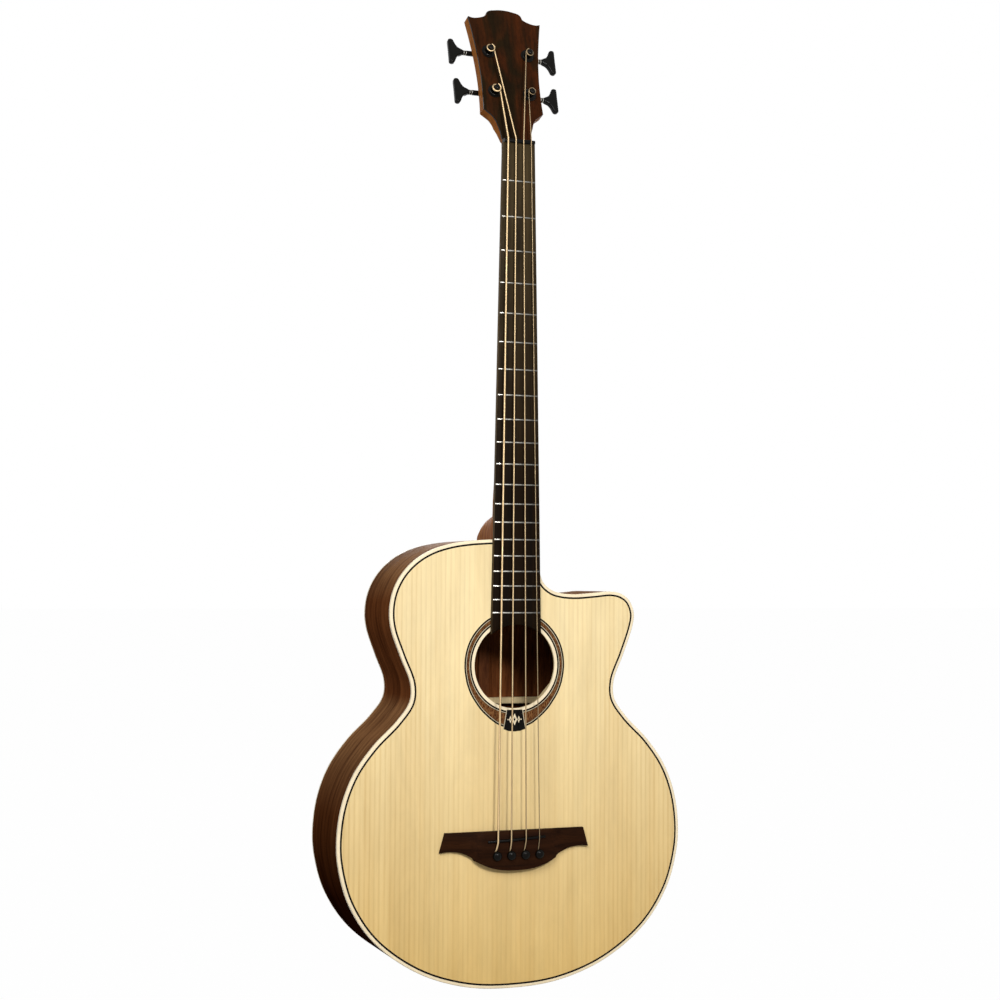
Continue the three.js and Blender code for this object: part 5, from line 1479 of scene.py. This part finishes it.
class BASS_OT_strings(BassOperator, bpy.types.Operator):
    """Makes the four wound strings, from their pins to the turns on their posts"""

    bl_idname = "bass.strings"
    bl_label = "Strings"

    def execute(self, context):
        for index, (name, thick, turns) in enumerate(STRINGS):
            path = self.path(index, thick, turns)
            bm = bmesh.new()
            along = bm.verts.layers.float.new("along")
            rings = self.tube(path, thick)
            travelled = 0.0
            for k, loop in enumerate(loft(bm, rings)):
                travelled += (path[k] - path[k - 1]).length * MM if k else 0
                for vert in loop:
                    vert[along] = travelled
            piece, node = f"wound_string_{name}", f"string_{name}"
            finished(piece, bm, TO_FRAME, self.wound(context), replaced=[node])
        return {"FINISHED"}

    def tube(self, path, thick):
        """Round sections along a line, each turned as little as it can be from the last."""
        across, rings = Vector((1, 0, 0)), []
        angles = [2 * math.pi * k / STRING_SIDES for k in range(STRING_SIDES)]
        for k, point in enumerate(path):
            way = (path[min(k + 1, len(path) - 1)] - path[max(k - 1, 0)]).normalized()
            across = (across - way * across.dot(way)).normalized()
            deep = way.cross(across)
            rings.append([point + (across * math.cos(a) + deep * math.sin(a)) * thick / 2 for a in angles])
        return rings

    def path(self, index, thick, turns):
        """Middle line of a string: up beside its pin, over the saddle and the nut, round its post."""
        middle, radius = string_x(index, BRIDGE_SPACING), thick / 2
        x = middle + SADDLE_SHIFTS[index]
        hole = PIN_Z + PIN_HOLE_AHEAD + SEAM + radius
        pin_side = Vector((middle + PIN_SHIFT - STRING_BESIDE_PIN - x, 0, 0))
        surface = -SEAM - BRIDGE_THICKNESS
        saddle = Vector((x, SADDLE_TOP + crown(x) - radius, SADDLE_Z + x * math.tan(SADDLE_ANGLE)))
        start = [Vector((x, BALL_DEPTH, hole)) + pin_side, Vector((x, surface + radius, hole)) + pin_side]
        bend = Vector((x, surface - radius - SEAM, hole + thick)) + pin_side * PIN_BEND_SHARE
        rest = Vector((0, 0, SADDLE_REST))
        rise = smooth_line([start[-1], bend, saddle - rest, saddle + rest], 1)
        nut = string_at_nut(index)
        winding = self.winding(index, thick, turns)
        return start[:1] + rise + [nut - Vector((0, 0, NUT_LENGTH)), nut] + winding

    def winding(self, index, thick, turns):
        """Turns of a string round its post, from the touching point up to its domed end."""
        nut, radius = string_at_nut(index), thick / 2
        to_local = TO_FRAME.inverted() @ TO_HEAD
        side, offset, place = TUNERS[index]
        wrap = POST_RADIUS + SEAM + radius
        away = (to_local.inverted() @ nut).xy - Vector((side * offset, place))
        first = math.atan2(away.y, away.x) - side * math.acos(wrap / away.length)
        steps = round(turns * TURN_STEPS)
        winding = []
        for k in range(steps + 1):
            angle = first - side * 2 * math.pi * k / TURN_STEPS
            height = POST_TOP - radius - (thick + TURN_GAP) * (steps - k) / TURN_STEPS
            flat = Vector((side * offset + wrap * math.cos(angle), place + wrap * math.sin(angle), height))
            winding.append(to_local @ flat)
        return winding

    def wound(self, context):
        """Bronze wire wrapped round a core, with painted shade in the grooves between the turns."""
        tone = context.scene.bass_colours.bronze
        if "Wound bronze" in bpy.data.materials:
            return bpy.data.materials["Wound bronze"]
        made, tree, shader, where = material_start("Wound bronze", metallic=0.75)
        along = add(tree, "ShaderNodeAttribute", attribute_name="along").outputs["Fac"]
        turn = summed(tree, "MULTIPLY", along, 2 * math.pi / context.scene.bass_sizes.string_wrap)
        wrap = add(tree, "ShaderNodeMath", {0: turn}, operation="SINE").outputs[0]
        # Painted shade: the colour darkens in the grooves between the turns of the wire
        shade = ranged(tree, wrap, -1, 1, 0.86, 1)
        patch = ranged(tree, noise(tree, where, 40, 2), 0.3, 0.7, 0.9, 1.08)
        share = summed(tree, "MULTIPLY", shade, patch)
        wire = mixed(tree, share, (0, 0, 0, 1), (*tone, 1))
        # Painted shade on the strings: darker towards the treble side and at their rims
        tree.links.new(metal_with_painted_shade(tree, wire, where, 0.03, 0.4, 0.1), shader.inputs["Base Color"])
        polished(tree, shader, where, 0.3, 0.45, 120)
        bumped(tree, shader, wrap, 0.25, 0.0001)
        return made


class BASS_OT_tuners(BassOperator, bpy.types.Operator):
    """Makes the four geared tuners: housing, post and key"""

    bl_idname = "bass.tuners"
    bl_label = "Tuners"

    key_edge = [
        (0.09, 0.13), (0.14, 0.17), (0.24, 0.235), (0.4, 0.33), (0.53, 0.52), (0.6, 0.69), (0.67, 0.89),
        (0.73, 0.97), (0.8, 1), (0.9, 0.99), (0.98, 0.93), (1, 0.82), (1, 0.4), (1, 0),
    ]
    # Turned shapes: pairs of radius and height over the veneer's face
    bush = [
        (0, -16.4), (5.4, -16.4), (5.4, 0.3), (8.4, 0.3), (8.8, 0.5), (8.9, 1.0), (8.5, 1.5), (7.5, 1.6),
        (7.3, 1.8), (7.2, 2.5), (6.8, 2.9), (6, 3), (4.2, 3), (3.9, 2.8), (3.9, 0), (0, 0),
    ]
    screw_head = [(0, -24.5), (1.1, -24.5), (1.5, -24.2), (1.5, -23.7), (0, -23.7)]
    screw_places = [(-4.2, -5.2), (4.2, -5.2), (-4.2, 9.2), (4.2, 9.2)]
    post_shape = [
        (0, -22.4), (POST_RADIUS, -22.4), (POST_RADIUS, POST_TOP), (3.42, 12.3), (3.15, 12.65),
        (2.6, 12.95), (1.8, 13.15), (0.9, 13.25), (0, 13.25),
    ]
    gear = [(0, -21.5), (4.9, -21.5), (4.9, -18.1), (0, -18.1)]
    # Shapes along the key's shaft: radius and place, the last two from the start of the key
    boss_ring = [(2, 6), (3.5, 6), (3.4, BOSS_LENGTH - 0.4), (3, BOSS_LENGTH), (2, BOSS_LENGTH), (2, 6)]
    shaft = [(0, 7), (1.7, 7), (1.7, KEY_START - 2.6)]
    key_neck = [(3, -2.4), (3.1, -0.2), (3.3, 0.9), (3.2, 2.5), (2.9, 5), (0, 7)]
    collar, collar_starts = [(0, 0), (3.3, 0), (3.6, 0.2), (3.6, 0.7), (3.3, 0.9), (0, 0.9)], (-2.3, 0.7)

    def execute(self, context):
        for (name, _, _), (side, offset, rise) in zip(STRINGS, TUNERS):
            place = TO_HEAD @ Matrix.Translation((side * offset, rise, 0)) @ Matrix.Diagonal((side, 1, 1, 1))
            self.housing(name, place)
            self.post(name, place)
            self.key(name, place @ Matrix.Translation((0, SHAFT_RISE, -SHAFT_DEPTH)))
        return {"FINISHED"}

    def housing(self, name, place):
        """Gear box behind the headstock, with the bush and washer in front."""
        bm = bmesh.new()
        verts = box(bm, BOX_LOW, BOX_HIGH)
        soften(bm, list({e for v in verts for e in v.link_edges}), BOX_ROUNDING, 3)
        along = Matrix.Translation((0, SHAFT_RISE, -SHAFT_DEPTH)) @ Matrix.Rotation(math.pi / 2, 4, "Y")
        turned(bm, self.boss_ring, 28, along)
        turned(bm, self.bush, 44)
        for x, y in self.screw_places:
            turned(bm, self.screw_head, 16, Matrix.Translation((x, y, 0)))
        finished(f"tuner_box_{name}", bm, place, black_metal(), replaced=[f"tuner_housing_{name}"])

    def post(self, name, place):
        """String post with its domed end and the gear in the box."""
        bm = bmesh.new()
        turned(bm, self.post_shape, 36)
        turned(bm, self.gear, 28)
        finished(f"string_post_{name}", bm, place, black_metal(), body=f"tuner_post_{name}",
                 replaced=[f"tuner_post_{name}"])

    def key(self, name, place):
        """Flared key with two bright collars."""
        bm = bmesh.new()
        upper = [(KEY_START + x * KEY_LENGTH, y * KEY_HALF_HEIGHT) for x, y in self.key_edge]
        lower = [(x, -y) for x, y in upper[:-1]][::-1]
        line = smooth_line(upper + lower, KEY_STEP) + [Vector(lower[-1])]
        edges = ring(bm, [(p.x, p.y, -KEY_HALF_THICKNESS) for p in line])
        bmesh.ops.contextual_create(bm, geom=edges)
        thicken(bm, bm.faces[:], (0, 0, 2 * KEY_HALF_THICKNESS))
        soften(bm, sharp_edges(bm, 60), KEY_ROUNDING, 5)
        along = Matrix.Rotation(math.pi / 2, 4, "Y")
        turned(bm, self.shaft + [(r, KEY_START + x) for r, x in self.key_neck], 28, along)
        finished(f"key_{name}", bm, place, black_metal(), body=f"tuner_key_{name}",
                 replaced=[f"tuner_key_{name}"], sharp=50)
        bm = bmesh.new()
        for low in self.collar_starts:
            turned(bm, [(r, KEY_START + low + x) for r, x in self.collar], 36, along)
        finished(f"key_collar_{name}", bm, place, collar_metal(), body=f"tuner_key_{name}",
                 replaced=[f"tuner_key_{name}"])


class BASS_OT_button(BassOperator, bpy.types.Operator):
    """Makes the strap button at the tail"""

    bl_idname = "bass.strap_button"
    bl_label = "Strap button"

    # Radius and height of the knob and its pin, from the knob's outer face
    knob = [
        (0, 0), (5.8, 0), (6.6, 0.3), (7, 1), (7, 1.9), (6.5, 2.6), (5.2, 3.2), (4.5, 4.2), (4.4, 6),
        (5, 7.6), (6.4, 8.8), (6.9, 9.7), (4.2, 9.7), (4.2, 24), (0, 24),
    ]
    knob_height = 10

    def execute(self, context):
        bm = bmesh.new()
        turned(bm, self.knob, 44, Matrix.Translation((0, TAIL_DEPTH / 2, TAIL_Z - self.knob_height)))
        finished("strap_knob", bm, TO_FRAME, black_plastic(), replaced=["strap_button"])
        return {"FINISHED"}


OPERATORS = [
    BASS_OT_studio, BASS_OT_soundboard, BASS_OT_rosette, BASS_OT_sides, BASS_OT_back, BASS_OT_bindings,
    BASS_OT_inside, BASS_OT_neck, BASS_OT_veneer, BASS_OT_fretboard, BASS_OT_frets, BASS_OT_nut,
    BASS_OT_bridge, BASS_OT_pins, BASS_OT_strings, BASS_OT_tuners, BASS_OT_button,
]


class BASS_PT_panel(bpy.types.Panel):
    """Steps and settings of the bass guitar"""

    bl_idname = "BASS_PT_panel"
    bl_label = "Acoustic bass guitar"
    bl_space_type = "VIEW_3D"
    bl_region_type = "UI"
    bl_category = "Bass guitar"

    def draw(self, context):
        """Lists the steps as buttons and the settings as fields."""
        for step in OPERATORS:
            self.layout.operator(step.bl_idname)
        for settings in (context.scene.bass_sizes, context.scene.bass_colours, context.scene.bass_light):
            column = self.layout.column()
            for key in settings.__annotations__:
                column.prop(settings, key)


CLASSES = [BassSizes, BassColours, BassLight, *OPERATORS, BASS_PT_panel]


def register():
    """Adds the settings, the steps and the panel."""
    for one in CLASSES:
        bpy.utils.register_class(one)
    bpy.types.Scene.bass_sizes = bpy.props.PointerProperty(type=BassSizes)
    bpy.types.Scene.bass_colours = bpy.props.PointerProperty(type=BassColours)
    bpy.types.Scene.bass_light = bpy.props.PointerProperty(type=BassLight)


def unregister():
    """Takes away what register adds."""
    del bpy.types.Scene.bass_light
    del bpy.types.Scene.bass_colours
    del bpy.types.Scene.bass_sizes
    for one in reversed(CLASSES):
        bpy.utils.unregister_class(one)


def main():
    """Builds the whole guitar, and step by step."""
    register()
    for step in OPERATORS:
        family, verb = step.bl_idname.split(".")
        getattr(getattr(bpy.ops, family), verb)()


if __name__ == "__main__":
    main()
